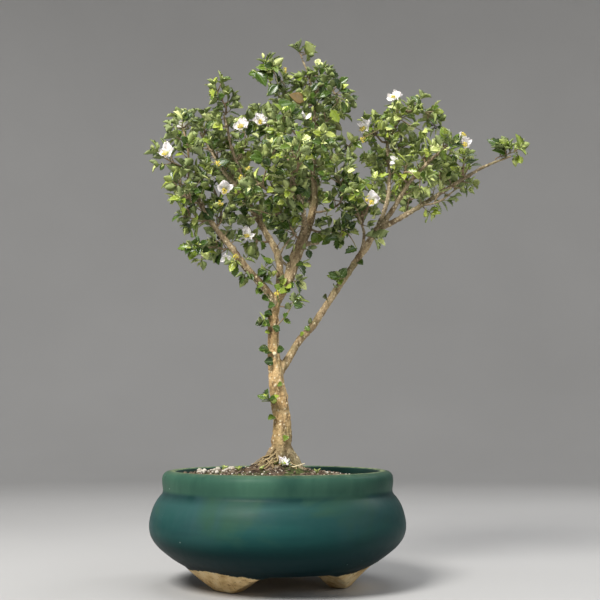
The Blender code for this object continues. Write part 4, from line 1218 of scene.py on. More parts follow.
def build_flower(name, seed, middle, facing, stalk_end, materials, replaced, size=1.0):
    """A flower with crumpled petals, longer above, and stamens that lean down and to the left."""
    rng = Random(seed)
    shape = Shape()
    for petal in range(PETALS):
        turn = tau * (petal + 0.5) / PETALS + rng.uniform(-0.35, 0.35)
        length = size * PETAL_LENGTH * (1.0 + 0.34 * sin(turn - 0.4)) * rng.uniform(0.85, 1.15)
        add_petal(shape, rng, turn, length, rng.uniform(-0.1, 0.8))
    for _ in range(INNER_PETALS):
        turn = rng.uniform(0.1, pi)
        add_petal(shape, rng, turn, size * PETAL_LENGTH * rng.uniform(0.6, 0.95), rng.uniform(0.6, 1.6))
    if size == 1:
        add_stamens(shape, rng, 30, 1.4, 4.0, (-1.6, -2.2))
    tube(shape, CALYX_ROWS, 10, mark=CALYX)
    for (x0, y0), (x1, y1) in zip(circle(0.6, PETALS), circle(1.8, PETALS)):
        tube(shape, [(x0, y0, 0.2, 0.35), (x1, y1, 0.35, 0.12)], 5, mark=CALYX)
    shape.move(place_of(middle, facing))
    if stalk_end is not None:
        base = Vector(middle) - Vector(facing).normalized() * 0.8
        end = stalk_end + heading(base, stalk_end) * 0.9
        droop = base.lerp(end, 0.5) - UP * 0.5
        tube(shape, smooth([(*base, 0.42), (*droop, 0.34), (*end, 0.4)], 2.0), 6, mark=CALYX)
    shape.build(name, materials, "petal", replaced)


def build_loose_petals(sprays, materials):
    """Single petals that hang among the leaves, each from the nearest twig."""
    rng = Random(PETAL_SEED)
    whole = Shape()
    for point in map(Vector, LOOSE_PETALS):
        root = nearest_twig(sprays, point)
        toward = point - root
        start = root + toward.normalized() * max(0.0, toward.length - LOOSE_STALK)
        part = Shape()
        for turn in (0.0, 1.9, 3.6):
            add_petal(part, rng, turn + rng.uniform(-0.4, 0.4), rng.uniform(2.6, 4.6), rng.uniform(0.5, 2.0))
        part.move(place_of(start, toward.normalized() + Vector((0, -0.8, 0))))
        if toward.length > LOOSE_STALK:
            tube(part, [(*root, 0.4), (*start, 0.3)], 6, mark=CALYX)
        whole.join(part)
    whole.build("loose_petals", materials, "petal")


def build_spent_flowers(sprays, materials):
    """Tufts of stamens left when petals fall, and two berries, each on a stalk from the nearest twig."""
    rng = Random(SPENT_SEED)
    whole = Shape()
    for place in SPENT_FLOWERS + BERRIES:
        root = nearest_twig(sprays, Vector(place))
        toward = root - Vector(place)
        point = root - toward.normalized() * min(toward.length, SPENT_STALK)
        facing = (heading(root, point) + Vector((0, -0.5, 0.2))).normalized()
        part = Shape()
        if place in BERRIES:
            ball(part, (0, 0, 0), 1.25, 1.1, mark=BERRY, sides=12, rings=7)
        else:
            add_stamens(part, rng, 26, 1.6)
            ball(part, (0, 0, 0.2), 0.9, 1.1, mark=CALYX, rings=5)
        part.move(place_of(point, facing))
        rows = [(*root, 0.4), (*root.lerp(point, 0.5), 0.32), (*point, 0.36)]
        tube(part, smooth(rows, 2.0), 6, mark=CALYX)
        whole.join(part)
    whole.build("spent_flowers", materials, "petal")


# Trunk, limbs and roots


def twin_rows(rows, shift):
    """One of the two fused stems of the central limb where it is double, and the whole limb elsewhere."""
    low, high = TWIN_HEIGHTS
    out = []
    for x, y, z, radius in rows:
        share = max(0.0, min(1.0, (z - low) / TWIN_BLEND, (high - z) / TWIN_BLEND))
        narrow = 1 - (1 - TWIN_RADIUS) * share
        out.append((x + shift * TWIN_APART * share, y - 0.6 * shift * share, z, radius * narrow))
    return out


def strand_rows(rows, first):
    """One of the strands that a root splits into beyond its thick end, turning slowly round its middle."""
    out = []
    for index, (x, y, z, radius) in enumerate(rows):
        share = min(1.0, index / 5)
        angle = first + 0.22 * index
        apart = 0.72 * radius * share
        z += 0.5 * apart * sin(2 * angle)
        out.append((x + apart * cos(angle), y + apart * sin(angle), z, radius * (1 - 0.58 * share)))
    return out


def bark_rows():
    rows = []
    for name, route in LIMBS.items():
        fine = smooth(route, 3.0)
        rows += [twin_rows(fine, 1), twin_rows(fine, -1)] if name == "central" else [fine]
    for index, route in enumerate(ROOTS):
        fine = smooth(route, 2.2)
        rows += [strand_rows(fine, tau * k / ROOT_STRANDS + index) for k in range(ROOT_STRANDS)]
    return rows + [smooth(route, 2.5) for route in STUBS]


def bark_height(point, radius):
    """How far the bark stands out at a point: ridges along the stem, cracks and small raised pores."""
    size = min(1.0, 0.3 + radius / 6.0)
    stretched = Vector((point.x * 0.42, point.y * 0.42, point.z * 0.09))
    ridges = noise.noise(stretched) * 0.9 + noise.noise(stretched * 2.3) * 0.5
    fine = noise.noise(point * 0.7) * 0.6 + noise.noise(point * 1.5) * 0.5
    near = noise.voronoi(Vector((point.x, point.y, point.z * 0.8)) / 3.0)[0][0]
    pore = max(0.0, 1 - near / 0.34)
    knots = max(0.0, noise.noise(point * 0.12 + Vector((7, 3, 1))) - 0.2)
    return size * (0.75 * ridges + 0.55 * fine + 0.55 * pore * pore + 1.5 * knots), pore


def joined_mesh(shape):
    """One even skin round all the tubes of a shape."""
    mesh = bpy.data.meshes.new("bark_rough")
    mesh.from_pydata(np.vstack(shape.points).tolist(), [], shape.faces)
    rough = add_object("bark_rough", mesh)
    remesh = rough.modifiers.new("join", "REMESH")
    remesh.mode = "VOXEL"
    remesh.voxel_size = BARK_VOXEL
    ease = rough.modifiers.new("ease", "SMOOTH")
    ease.factor = 0.5
    ease.iterations = 3
    graph = bpy.context.evaluated_depsgraph_get()
    joined = bpy.data.meshes.new_from_object(rough.evaluated_get(graph))
    bpy.data.objects.remove(rough)
    joined.name = "bark"
    return joined


def build_bark(materials):
    shape = Shape()
    centres = []
    for route in bark_rows():
        tube(shape, route, BARK_SIDES)
        centres += route
    joined = joined_mesh(shape)
    finder = kdtree.KDTree(len(centres))
    for index, row in enumerate(centres):
        finder.insert(row[:3], index)
    finder.balance()
    places, points = [], []
    for vert in joined.vertices:
        radius = max(centres[index][3] for _, index, _ in finder.find_n(vert.co, 2))
        height, pore = bark_height(vert.co, radius)
        points.append((vert.co + vert.normal * height) * MM + AXIS)
        places += [radius / BARK_THICKEST, pore, vert.co.z / TREE_HEIGHT]
    for vert, point in zip(joined.vertices, points):
        vert.co = point
    settle(joined, "bark", places, materials, "bark", "trunk")


def soil_height(x, y):
    """The soil's height without its grain: it falls away to the right."""
    radius = hypot(x, y)
    mound = 2.6 * exp(-((x + 19) ** 2 + (y + 9) ** 2) / 110)
    return read_off(SOIL_TOP, radius) + mound - (0.034 if x > 0 else 0.01) * x * min(1.0, radius / 40)


def soil_grain(x, y):
    point = Vector((x, y, 0))
    lumps = noise.noise(point / 13) * 1.3 + noise.noise(point / 5.5) * 0.8
    grains = 0.6 - noise.voronoi(point / 2.6)[0][0]
    crumbs = 0.4 - noise.voronoi(point / 1.2)[0][0]
    return lumps + 0.9 * grains + 0.35 * crumbs


def build_soil(materials):
    """The root ball: a grained top, and sides and underside that follow the pot's inside."""
    shape = Shape()
    points, places = [(0, 0, soil_height(0, 0))], [(0, 0, 0)]
    for ring in range(1, SOIL_RINGS + 1):
        radius = SOIL_RADIUS * ring / SOIL_RINGS
        for x, y in circle(radius, SOIL_SECTORS):
            grain = soil_grain(x, y) * min(1.0, (76.5 - radius) / 3)
            points.append((x, y, soil_height(x, y) + grain))
            places.append((grain, 0, 0))
    inside = reversed(smooth(POT_INSIDE[1:], 12.0))
    rows = [(r - CLEARANCE, z) for r, z in inside if z < SOIL_TOP[-1][1] - 3.5]
    rows += [(radius, FLOOR_HEIGHT + CLEARANCE) for radius in (SOIL_FOOT_RADIUS, SCREEN_HOLLOW_RADIUS)]
    rows += [(SCREEN_HOLLOW_RADIUS, SCREEN_HOLLOW_TOP), (1.0, SCREEN_HOLLOW_TOP)]
    for radius, z in rows:
        points += [(x, y, z) for x, y in circle(radius, SOIL_SECTORS)]
        places += [(0, 0, 0)] * SOIL_SECTORS
    faces = disc(SOIL_SECTORS) + ring_faces(SOIL_RINGS + len(rows), SOIL_SECTORS, 1, flip=True)
    faces.append(tuple(reversed(range(len(points) - SOIL_SECTORS, len(points)))))
    shape.add(points, faces, places)
    shape.build("soil_surface", materials, "earth", "soil")


def add_stone(shape, rng, x, y, radius, tone, sink=0.35):
    """A small rough stone half sunk in the soil."""
    part = Shape()
    ball(part, (0, 0, 0), radius, rng.uniform(0.6, 0.95), rings=5)
    stretch = Matrix.Diagonal((rng.uniform(0.8, 1.35), rng.uniform(0.7, 1.1), 1, 1))
    turn = Matrix.Rotation(rng.uniform(0, tau), 4, "Z") @ Matrix.Rotation(rng.uniform(-0.4, 0.4), 4, "X")
    base = Vector((x, y, soil_height(x, y) + 0.4 + radius * (1 - 2 * sink)))
    part.move(Matrix.Translation(base) @ turn @ stretch)
    points = []
    for point in map(Vector, part.points[0]):
        swell = 1 + 0.28 * noise.noise(point * (1.6 / max(radius, 0.6)))
        points.append(tuple(base + (point - base) * swell))
    shape.add(points, part.faces, (0, 0, tone))


def build_grit(materials):
    """Pebbles, grit and bark crumbs scattered on the soil."""
    rng = Random(GRIT_SEED)
    shape = Shape()
    for _ in range(PEBBLES):
        x, y = rng.uniform(-66, -34), rng.uniform(-34, 42)
        if hypot(x, y) < 71:
            add_stone(shape, rng, x, y, rng.uniform(1.0, 2.3), rng.uniform(0.75, 1.0), 0.25)
    for _ in range(GRAINS):
        angle = rng.uniform(0, tau)
        radius = 73 * sqrt(rng.random())
        x, y = radius * cos(angle), radius * sin(angle)
        pale = rng.random() < (0.55 if x > 25 else 0.25)
        size = rng.uniform(0.45, 0.9) if pale else rng.uniform(0.6, 1.5)
        add_stone(shape, rng, x, y, size, rng.uniform(0.7, 1.0) if pale else rng.uniform(0.0, 0.5))
    shape.build("soil_grit", materials, "earth")


def build_fine_roots(materials):
    """Thin roots that spread over the soil, thickest on the left of the trunk."""
    rng = Random(ROOT_SEED)
    shape = Shape()
    for index in range(FINE_ROOTS):
        left = index < LEFT_ROOTS
        angle = radians(rng.uniform(150, 262) if left else rng.uniform(-100, 150))
        start = 5 + rng.uniform(0, 3)
        length = rng.uniform(8, 20) if left else rng.uniform(8, 18)
        lift = rng.uniform(3.0, 11.0) if left else rng.uniform(0.5, 4.0)
        thick = rng.uniform(0.35, 0.95)
        route = []
        for step in range(6):
            t = step / 5
            angle += rng.uniform(-0.34, 0.34)
            radius = start + length * t
            x, y = 2 + radius * cos(angle), radius * sin(angle)
            z = soil_height(x, y) + lift * (1 - t) ** 1.5 + rng.uniform(-0.4, 0.9) + 0.3 - 1.6 * t**4
            route.append((x, y, z, thick * (1 - 0.6 * t)))
        tone = rng.random()
        rows = smooth(route, 2.2)
        tube(shape, rows, 7, [(i / len(rows), 0, tone) for i in range(len(rows)) for _ in range(7)])
    shape.build("fine_roots", materials, "bark")


def build_litter(materials):
    """Small green plants, a pale stick and a stem at the foot of the trunk."""
    rng = Random(LITTER_SEED)
    shape = Shape()
    tube(shape, smooth(STICK, 2.0), 7, (0.2, 0, CUT_WOOD_TONE), WOOD)
    tube(shape, smooth(GREEN_STEM, 1.5), 8, (0.2, 0, GREEN_STEM_TONE), WOOD)
    for x, y in PLANTS:
        base = Vector((x, y, soil_height(x, y) + 0.4))
        for step in range(5):
            way = Vector((cos(step * 1.3 + x), sin(step * 1.3 + x), 0.9)).normalized()
            leaf = plan_leaf(rng, base, way, UP, rng.uniform(3.2, 5.2), 28)
            add_leaf(shape, rng, leaf, rng.uniform(0.35, 0.85))
    shape.build("soil_plants", materials, "leaf")


# Pot


def from_foot(x, y):
    """Degrees round the pot from the middle of the nearest foot."""
    azimuth = degrees(atan2(x, -y))
    return min(abs((azimuth - foot + 180) % 360 - 180) for foot in FOOT_AZIMUTHS)


def soft_max(a, b, softness):
    spread = max(0.0, softness - abs(a - b)) / softness
    return max(a, b) + 0.25 * softness * spread * spread


def build_pot(materials):
    ring = smooth([POT_OUTSIDE[-1], *POT_FOOT_SIDE], POT_SPACING)[1:]
    profile = [*smooth(POT_OUTSIDE, POT_SPACING), *ring, *POT_UNDER, *smooth(POT_INSIDE, POT_SPACING)]
    shape = Shape()
    points, places = [], []
    for k in range(POT_SECTORS):
        angle = tau * k / POT_SECTORS
        for radius, z in profile:
            x, y = radius * sin(angle), -radius * cos(angle)
            wave = noise.noise(Vector((x, y, z * 1.5)) / 55) * 0.35
            if radius > FOOT_INSIDE and z < UNDERSIDE_HEIGHT - 0.5:
                z = soft_max(z, read_off(FOOT_SIDE, from_foot(x, y)), FOOT_SOFTNESS)
            if z > 20:
                x, y = x * (1 + wave / 100), y * (1 + wave / 100)
            points.append((x, y, z))
            on_foot = max(0.0, 1 - from_foot(x, y) / FOOT_REACH)
            places.append((radius / BELLY_RADIUS, z / RIM_HEIGHT, on_foot))
    shape.add(points, ring_faces(POT_SECTORS, len(profile), closed=True), places)
    shape.build("glazed_pot", materials, "glaze", "pot")


# Materials


class Paint:
    """A material under construction, with short calls for its nodes."""

    def __init__(self, name, roughness=0.5, **constants):
        self.material = bpy.data.materials.new(name)
        self.material.use_nodes = True
        self.tree = self.material.node_tree
        self.shader = self.tree.nodes["Principled BSDF"]
        self.shader.inputs["Roughness"].default_value = roughness
        for key, value in constants.items():
            self.shader.inputs[key.replace("_", " ")].default_value = value
        self.at = self.node("ShaderNodeTexCoord").outputs["Object"]

    def node(self, kind, **settings):
        node = self.tree.nodes.new(kind)
        for key, value in settings.items():
            setattr(node, key, value)
        return node

    def link(self, value, socket):
        if isinstance(value, bpy.types.NodeSocket):
            self.tree.links.new(value, socket)
        elif isinstance(value, tuple):
            socket.default_value = (*value, 1)
        else:
            socket.default_value = value

    def split(self, vector, part):
        node = self.node("ShaderNodeSeparateXYZ")
        self.link(vector, node.inputs[0])
        return node.outputs[part]

    def place(self, part):
        """One part of what the shape says of the place of each point."""
        return self.split(self.node("ShaderNodeAttribute", attribute_name="place").outputs["Vector"], part)

    def texture(self, kind, stretch, **inputs):
        mapping = self.node("ShaderNodeMapping")
        mapping.inputs["Scale"].default_value = stretch
        self.link(self.at, mapping.inputs["Vector"])
        node = self.node(kind)
        self.link(mapping.outputs[0], node.inputs["Vector"])
        for key, value in inputs.items():
            node.inputs[key].default_value = value
        return node

    def noise(self, scale, detail=3.0, rough=0.5, stretch=(1, 1, 1), warp=0.0):
        inputs = {"Scale": scale, "Detail": detail, "Roughness": rough, "Distortion": warp}
        return self.texture("ShaderNodeTexNoise", stretch, **inputs).outputs[0]

    def cells(self, scale, output="Distance"):
        return self.texture("ShaderNodeTexVoronoi", (1, 1, 1), Scale=scale).outputs[output]

    def math(self, operation, a, b=0.0, clamp=False):
        node = self.node("ShaderNodeMath", operation=operation, use_clamp=clamp)
        self.link(a, node.inputs[0])
        self.link(b, node.inputs[1])
        return node.outputs[0]

    def times(self, a, b, clamp=False):
        return self.math("MULTIPLY", a, b, clamp)

    def plus(self, a, b):
        return self.math("ADD", a, b)

    def minus(self, a, b):
        return self.math("SUBTRACT", a, b)

    def above(self, a, b):
        return self.math("GREATER_THAN", a, b)

    def ramp(self, value, *stops):
        node = self.node("ShaderNodeValToRGB")
        elements = node.color_ramp.elements
        while len(elements) < len(stops):
            elements.new(0.5)
        for element, (at, colour) in zip(elements, stops):
            element.position = at
            element.color = (*colour, 1) if isinstance(colour, tuple) else (colour, colour, colour, 1)
        self.link(value, node.inputs[0])
        return node.outputs["Color"]

    def rise(self, value, low, high, top=1.0):
        """0 up to a low value, and the top from a high one on."""
        return self.ramp(value, (low, 0.0), (high, top))

    def fall(self, value, low, high):
        """1 up to a low value, and 0 from a high one on."""
        return self.ramp(value, (low, 1.0), (high, 0.0))

    def mix(self, share, a, b):
        node = self.node("ShaderNodeMix", data_type="RGBA")
        self.link(share, node.inputs[0])
        self.link(a, node.inputs[6])
        self.link(b, node.inputs[7])
        return node.outputs[2]

    def layer(self, colour, tint, mask, share):
        """A colour with a share of a tint where the mask says so."""
        return self.mix(self.times(mask, share), colour, tint)

    def bump(self, height, strength, distance, under=None):
        node = self.node("ShaderNodeBump")
        node.inputs["Strength"].default_value = strength
        node.inputs["Distance"].default_value = distance * MM
        self.link(height, node.inputs["Height"])
        if under is not None:
            self.link(under, node.inputs["Normal"])
        return node.outputs[0]

    def finish(self, colour, roughness=None, normal=None):
        for value, name in ((colour, "Base Color"), (roughness, "Roughness"), (normal, "Normal")):
            if value is not None:
                self.link(value, self.shader.inputs[name])
        return self.material


def leaf_material():
    paint = Paint("holly_leaf", Specular_IOR_Level=0.5)
    tone, along = paint.place("Z"), paint.place("X")
    across = paint.math("ABSOLUTE", paint.place("Y"))
    speckle = paint.noise(420)
    shade = paint.plus(tone, paint.times(paint.minus(speckle, 0.5), 0.22))
    # The tone ramp's bright end is young leaves, and also painted light on leaves in the crown's middle and
    # on its right
    greens = [(0.0, (0.018, 0.044, 0.005)), (0.22, (0.062, 0.118, 0.014)), (0.45, (0.18, 0.26, 0.024))]
    top = paint.ramp(shade, *greens, (0.72, (0.42, 0.5, 0.07)), (1.0, (0.78, 0.82, 0.38)))
    top = paint.layer(top, (0.2, 0.3, 0.09), paint.fall(across, 0.03, 0.1), 0.5)
    veins = paint.math("PINGPONG", paint.plus(paint.times(along, 7.0), paint.times(across, -1.6)), 0.5)
    veins = paint.fall(veins, 0.0, 0.12)
    top = paint.layer(top, (0.2, 0.3, 0.1), veins, 0.16)
    top = paint.layer(top, (0.34, 0.4, 0.16), paint.rise(across, 0.86, 1.0), 0.45)
    top = paint.mix(paint.above(tone, 1.15), top, (0.21, 0.14, 0.045))
    under = paint.node("ShaderNodeAttribute", attribute_name="under").outputs["Fac"]
    colour = paint.mix(under, top, paint.mix(0.6, top, (0.36, 0.42, 0.17)))
    shine = paint.plus(paint.plus(0.22, paint.times(under, 0.35)), paint.times(speckle, 0.12))
    height = paint.plus(paint.noise(900, 2), paint.times(veins, -0.5))
    return paint.finish(colour, shine, paint.bump(height, 0.35, 0.15))


def twig_material():
    paint = Paint("twig_bark", 0.8)
    along, tone = paint.place("X"), paint.place("Z")
    grain = paint.noise(700)
    woody = paint.ramp(grain, (0.3, (0.15, 0.11, 0.065)), (0.7, (0.42, 0.33, 0.2)))
    red = paint.mix(paint.times(tone, 0.35, True), woody, (0.24, 0.12, 0.06))
    green = paint.ramp(grain, (0.3, (0.1, 0.13, 0.035)), (0.7, (0.24, 0.3, 0.09)))
    colour = paint.mix(paint.rise(along, 0.55, 1.0), red, green)
    colour = paint.mix(paint.above(tone, 1.5), colour, (0.75, 0.66, 0.43))
    colour = paint.mix(paint.above(tone, 2.5), colour, (0.32, 0.45, 0.14))
    return paint.finish(colour, None, paint.bump(grain, 0.5, 0.3))


def bark_material():
    """Tan bark with pale pores, dark fine cracks and a film of green, greyer on the thin limbs."""
    paint = Paint("pale_bark", 0.85)
    thick, pore = paint.place("X"), paint.place("Y")
    patches = paint.noise(48, 5, 0.65, (1, 1, 0.6))
    streaks = paint.noise(210, 4, 0.65, (1, 1, 0.3))
    fine = paint.noise(650, 4, 0.7)
    tans = [(0.3, (0.3, 0.18, 0.07)), (0.45, (0.52, 0.33, 0.14)), (0.58, (0.7, 0.49, 0.24))]
    tan = paint.ramp(patches, *tans, (0.72, (0.48, 0.33, 0.15)))
    greys = [(0.35, (0.17, 0.13, 0.08)), (0.55, (0.38, 0.3, 0.19)), (0.7, (0.25, 0.19, 0.11))]
    colour = paint.mix(paint.rise(thick, 0.25, 0.6), paint.ramp(patches, *greys), tan)
    colour = paint.layer(colour, (0.1, 0.055, 0.022), paint.fall(streaks, 0.38, 0.49), 0.75)
    colour = paint.layer(colour, (0.14, 0.085, 0.035), paint.fall(fine, 0.36, 0.46), 0.65)
    colour = paint.layer(colour, (0.78, 0.63, 0.37), paint.rise(fine, 0.54, 0.66), 0.55)
    colour = paint.layer(colour, (0.85, 0.72, 0.48), paint.rise(pore, 0.15, 0.45), 0.85)
    film = paint.rise(paint.noise(36, 4, 0.7), 0.5, 0.66)
    colour = paint.layer(colour, (0.15, 0.15, 0.055), film, 0.5)
    height = paint.plus(streaks, paint.times(fine, 0.8))
    return paint.finish(colour, None, paint.bump(height, 1.0, 0.9))


def root_material():
    paint = Paint("thin_root", 0.85)
    grain = paint.noise(500)
    stops = [(0.0, (0.1, 0.07, 0.03)), (0.3, (0.38, 0.27, 0.12)), (0.6, (0.7, 0.55, 0.3))]
    colour = paint.ramp(paint.place("Z"), *stops, (1.0, (0.24, 0.17, 0.08)))
    colour = paint.layer(colour, (0.08, 0.055, 0.03), grain, 0.45)
    return paint.finish(colour, None, paint.bump(grain, 0.6, 0.3))


def soil_material():
    paint = Paint("soil", 0.95, Specular_IOR_Level=0.25)
    grains = paint.cells(380)
    grey = paint.node("ShaderNodeRGBToBW")
    paint.link(paint.cells(380, "Color"), grey.inputs[0])
    browns = [(0.2, (0.018, 0.011, 0.007)), (0.5, (0.07, 0.045, 0.027)), (0.75, (0.16, 0.11, 0.07))]
    brown = paint.ramp(grey.outputs[0], *browns, (0.9, (0.36, 0.31, 0.24)))
    moss = paint.ramp(paint.noise(240), (0.35, (0.035, 0.05, 0.014)), (0.65, (0.1, 0.125, 0.035)))
    colour = paint.mix(paint.rise(paint.noise(45, 4, 0.6), 0.52, 0.62), brown, moss)
    height = paint.plus(paint.times(grains, -1.0), paint.noise(900))
    return paint.finish(colour, None, paint.bump(height, 0.9, 1.0))


def stone_material():
    paint = Paint("grit", 0.8)
    grain = paint.noise(600, 4)
    stops = [(0.0, (0.045, 0.028, 0.018)), (0.4, (0.17, 0.12, 0.08)), (0.65, (0.4, 0.35, 0.27))]
    stone = paint.ramp(paint.place("Z"), *stops, (1.0, (0.75, 0.71, 0.62)))
    colour = paint.layer(stone, (0.2, 0.16, 0.11), paint.rise(grain, 0.4, 0.7), 0.4)
    return paint.finish(colour, None, paint.bump(grain, 0.5, 0.4))


def petal_material():
    paint = Paint("petal", 0.55, Subsurface_Weight=0.15)
    across = paint.math("ABSOLUTE", paint.place("Y"))
    whites = [(0.0, (0.82, 0.8, 0.55)), (0.3, (0.93, 0.92, 0.9)), (1.0, (0.93, 0.88, 0.88))]
    lines = paint.rise(paint.noise(700, 3, 0.6, (1, 1, 0.5)), 0.4, 0.62)
    colour = paint.layer(paint.ramp(paint.place("X"), *whites), (0.87, 0.74, 0.76), lines, 0.16)
    colour = paint.layer(colour, (0.9, 0.82, 0.84), across, 0.08)
    return paint.finish(colour, None, paint.bump(lines, 0.3, 0.2))


def stamen_material():
    paint = Paint("anther", 0.6)
    grain = paint.noise(1500, 2)
    yellows = [(0.3, (0.62, 0.45, 0.03)), (0.55, (0.85, 0.7, 0.1)), (0.75, (0.9, 0.82, 0.3))]
    colour = paint.mix(paint.above(paint.place("Z"), 1.5), paint.ramp(grain, *yellows), (0.75, 0.76, 0.45))
    return paint.finish(colour, None, paint.bump(grain, 0.4, 0.1))


def grained_material(name, roughness, scale, dark, light, strength, distance, **constants):
    """A fine grain between two colours."""
    paint = Paint(name, roughness, **constants)
    grain = paint.noise(scale)
    colour = paint.ramp(grain, (0.3, dark), (0.7, light))
    return paint.finish(colour, None, paint.bump(grain, strength, distance))


def flower_materials():
    berry = ((0.008, 0.008, 0.012), (0.03, 0.022, 0.03), 0.2, 0.1)
    return [
        petal_material(),
        stamen_material(),
        grained_material("calyx", 0.55, 900, (0.09, 0.15, 0.03), (0.28, 0.36, 0.1), 0.4, 0.2),
        grained_material("berry", 0.3, 800, *berry, Coat_Weight=0.4),
    ]


def pot_material():
    """Teal glaze that runs thinner and greener at the lip, over pale clay that shows on the feet, with
    painted shade.
    """
    paint = Paint("teal_glaze", Specular_IOR_Level=0.07)
    height = paint.split(paint.at, "Z")
    out = paint.place("X")
    level = paint.times(height, 1 / (RIM_HEIGHT * MM))
    clouds = paint.noise(16, 4, 0.55, warp=0.8)
    drips = paint.noise(34, 4, 0.5, (1, 1, 0.3), 0.5)
    small = paint.noise(170, 3, 0.6)
    # The belly: painted shade that darkens it towards the bottom, a darker ring under the lip, clouds over
    # darker bands, and greener towards the rim
    teals_with_painted_shade = [(0.18, (0.0004, 0.003, 0.004)), (0.36, (0.001, 0.022, 0.022)), (0.56, (0.014, 0.068, 0.063))]
    belly = paint.ramp(level, *teals_with_painted_shade, (0.74, (0.024, 0.08, 0.075)), (0.8, (0.01, 0.04, 0.037)))
    cool = paint.mix(paint.rise(clouds, 0.42, 0.66), belly, (0.04, 0.088, 0.09))
    bands = paint.fall(paint.noise(26, 4, 0.6, (0.25, 0.25, 1.9), 0.3), 0.42, 0.56)
    belly = paint.layer(belly, (0.004, 0.024, 0.028), bands, 0.5)
    olive = paint.rise(paint.noise(22, 4, 0.6, warp=0.6), 0.5, 0.68)
    olive = paint.mix(olive, cool, (0.04, 0.092, 0.052))
    colour = paint.mix(paint.rise(level, 0.4, 0.62, 0.55), belly, olive)
    # The lip with its drips, painted shade on the right side and painted shade on the inside wall
    greens = [(0.35, (0.024, 0.072, 0.052)), (0.6, (0.045, 0.115, 0.078)), (0.75, (0.07, 0.15, 0.098))]
    colour = paint.mix(paint.rise(level, 0.815, 0.845), colour, paint.ramp(drips, *greens))
    # Painted shade: the glaze darkens from the pot's middle towards its right side
    across = paint.minus(paint.split(paint.at, "X"), AXIS.x)
    across = paint.times(across, 1 / (BELLY_RADIUS * MM))
    colour = paint.layer(colour, (0.001, 0.016, 0.017), paint.rise(across, 0.0, 0.9), 0.5)
    # Painted shade on the inside wall of the lip, above the soil
    wall = paint.times(paint.fall(out, 0.785, 0.8), paint.above(level, 0.5))
    colour = paint.layer(colour, (0.003, 0.014, 0.013), wall, 0.85)
    # The worn crest of the rim, and rare pale flecks
    crest = paint.ramp(out, (0.795, 0.0), (0.805, 1.0), (0.83, 1.0), (0.85, 0.15))
    crest = paint.times(crest, paint.ramp(small, (0.4, 0.3), (0.58, 1.0)))
    crest = paint.times(crest, paint.rise(level, 0.975, 0.99))
    colour = paint.layer(colour, (0.3, 0.34, 0.17), crest, 0.7)
    rare = paint.rise(paint.noise(35, 2), 0.6, 0.66)
    colour = paint.layer(colour, (0.35, 0.45, 0.42), paint.fall(paint.cells(95), 0.03, 0.06), rare)
    # Bare clay on the feet, below a ragged line, and under the pot
    clays = [(0.3, (0.46, 0.29, 0.12)), (0.5, (0.72, 0.53, 0.27)), (0.7, (0.8, 0.66, 0.4))]
    pits = paint.fall(paint.noise(420, 4, 0.65), 0.3, 0.42)
    clay = paint.layer(paint.ramp(paint.noise(90, 4, 0.6), *clays), (0.16, 0.09, 0.04), pits, 0.7)
    edge = paint.plus(height, paint.times(paint.minus(small, 0.5), 0.0035))
    line = paint.plus(0.0125, paint.times(paint.place("Z"), 0.0052))
    bare = paint.times(paint.minus(line, edge), 2200.0, True)
    under = paint.times(paint.math("LESS_THAN", out, 0.42), paint.math("LESS_THAN", height, 0.0165))
    bare = paint.math("MAXIMUM", bare, under)
    colour = paint.mix(bare, colour, clay)
    shine = paint.plus(0.36, paint.times(small, 0.16))
    rough = paint.math("MAXIMUM", shine, paint.times(bare, 0.92))
    glaze_bump = paint.bump(paint.plus(clouds, paint.times(drips, 0.4)), 0.25, 1.2)
    clay_height = paint.times(paint.times(pits, -1.0), bare)
    return paint.finish(colour, rough, paint.bump(clay_height, 0.8, 0.7, glaze_bump))


def floor_material():
    paint = Paint("studio_floor", 0.75)
    greys = [(0.3, (0.44, 0.438, 0.437)), (0.7, (0.465, 0.463, 0.462))]
    return paint.finish(paint.ramp(paint.noise(3, 2), *greys))


# Stage, lights and camera


def build_stage():
    """A pale floor that curves up into a wall all round."""
    flat = STAGE_RADIUS - STAGE_BEND
    profile = [(flat * k / 8, 0.0) for k in range(1, 9)]
    for step in range(1, 25):
        angle = 0.5 * pi * step / 24
        profile.append((flat + STAGE_BEND * sin(angle), STAGE_BEND * (1 - cos(angle))))
    profile.append((STAGE_RADIUS, STAGE_HEIGHT))
    points = [(0, 0, 0)]
    for radius, z in profile:
        points += [(x, y, z) for x, y in circle(radius, STAGE_SECTORS)]
    faces = disc(STAGE_SECTORS) + ring_faces(len(profile), STAGE_SECTORS, 1, flip=True)
    mesh = bpy.data.meshes.new("studio_floor")
    mesh.from_pydata((np.array(points) * MM).tolist(), [], faces)
    mesh.materials.append(floor_material())
    mesh.shade_smooth()
    stage = add_object("studio_floor", mesh)


def add_lights():
    for name, place, size, energy, colour in LIGHTS:
        data = bpy.data.lights.new(name, "AREA")
        data.shape = "DISK"
        data.size = size * MM
        data.energy = energy
        data.color = colour
        light = add_object(name, data)
        light.location = Vector(place) * MM + AXIS
        way = Vector(LIGHTS_AIM) - Vector(place)
        light.rotation_euler = way.to_track_quat("-Z", "Y").to_euler()
    world = bpy.data.worlds.new("studio")
    world.use_nodes = True
    inputs = world.node_tree.nodes["Background"].inputs
    inputs["Color"].default_value = WORLD_COLOUR
    inputs["Strength"].default_value = WORLD_STRENGTH
    bpy.context.scene.world = world


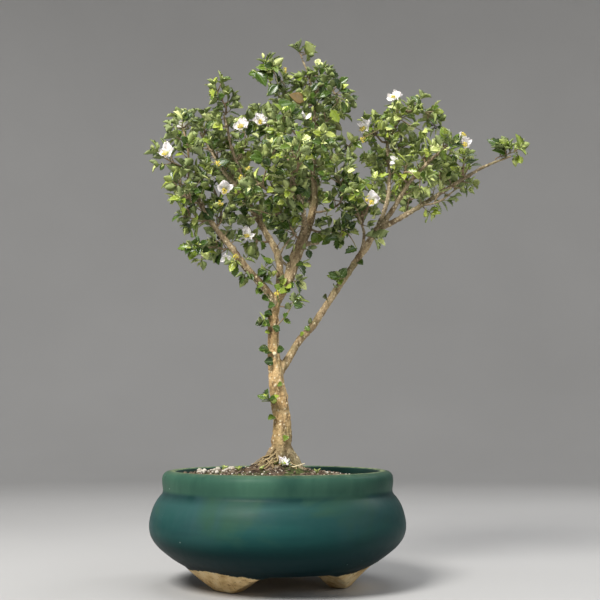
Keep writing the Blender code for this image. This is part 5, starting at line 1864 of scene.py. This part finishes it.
def add_camera():
    data = bpy.data.cameras.new("camera")
    data.sensor_width = SENSOR_WIDTH
    data.lens = FOCAL_PIXELS / IMAGE_WIDTH * SENSOR_WIDTH
    data.clip_start = 0.01
    camera = add_object("camera", data)
    camera.location = Vector(CAMERA_PLACE) * MM + AXIS
    camera.rotation_euler = (radians(90 + CAMERA_PITCH), 0, 0)
    bpy.context.scene.camera = camera


def build_object():
    limbs = {name: smooth(route, LIMB_SPACING) for name, route in LIMBS.items()}
    room, sprays, stalks = plan_foliage(limbs)
    keep_views(room)
    fills = plan_fills(Random(FILL_SEED), room, sprays, limbs)
    leaf_paints = [leaf_material(), twig_material()]
    for index, (_, main, pads) in enumerate(sprays, 1):
        shoots = plan_shoots(Random(SHOOT_SEED + index), room, main, pads)
        build_spray(index, main, shoots, leaf_paints)
    build_shoots("gap_shoots", FILL_SHAPE_SEED, fills, leaf_paints)
    limb_shoots = plan_limb_shoots(Random(LIMB_SHOOT_SEED), room)
    build_shoots("limb_shoots", LIMB_SHOOT_SEED, limb_shoots, leaf_paints)
    paints = flower_materials()
    for index, (flower, stalk) in enumerate(zip(FLOWERS, stalks), 1):
        build_flower(f"bloom_{index}", FLOWER_SEED + index, *flower, stalk, paints[:3], f"flower_{index}")
    middle, facing = FALLEN_FLOWER
    fallen = (Vector(middle) + FALLEN_FLOWER_SHIFT, facing, None)
    build_flower("fallen_bloom", FALLEN_SEED, *fallen, paints[:3], "fallen_flower", FALLEN_FLOWER_SIZE)
    build_spent_flowers(sprays, paints)
    build_loose_petals(sprays, paints[:3])
    build_placed_leaves(sprays, limbs, leaf_paints)
    build_bark([bark_material()])
    build_fine_roots([root_material()])
    build_soil([soil_material()])
    build_grit([stone_material()])
    build_litter(leaf_paints)
    build_pot([pot_material()])
    black = ((0.012, 0.012, 0.012), (0.03, 0.03, 0.03), 0.3, 0.1)
    plastic = grained_material("screen_plastic", 0.6, 1200, *black)
    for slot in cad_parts["drain_screen"].material_slots:
        slot.material = plastic


build_object()
build_stage()
add_lights()
add_camera()
bpy.context.scene.view_settings.view_transform = "Standard"
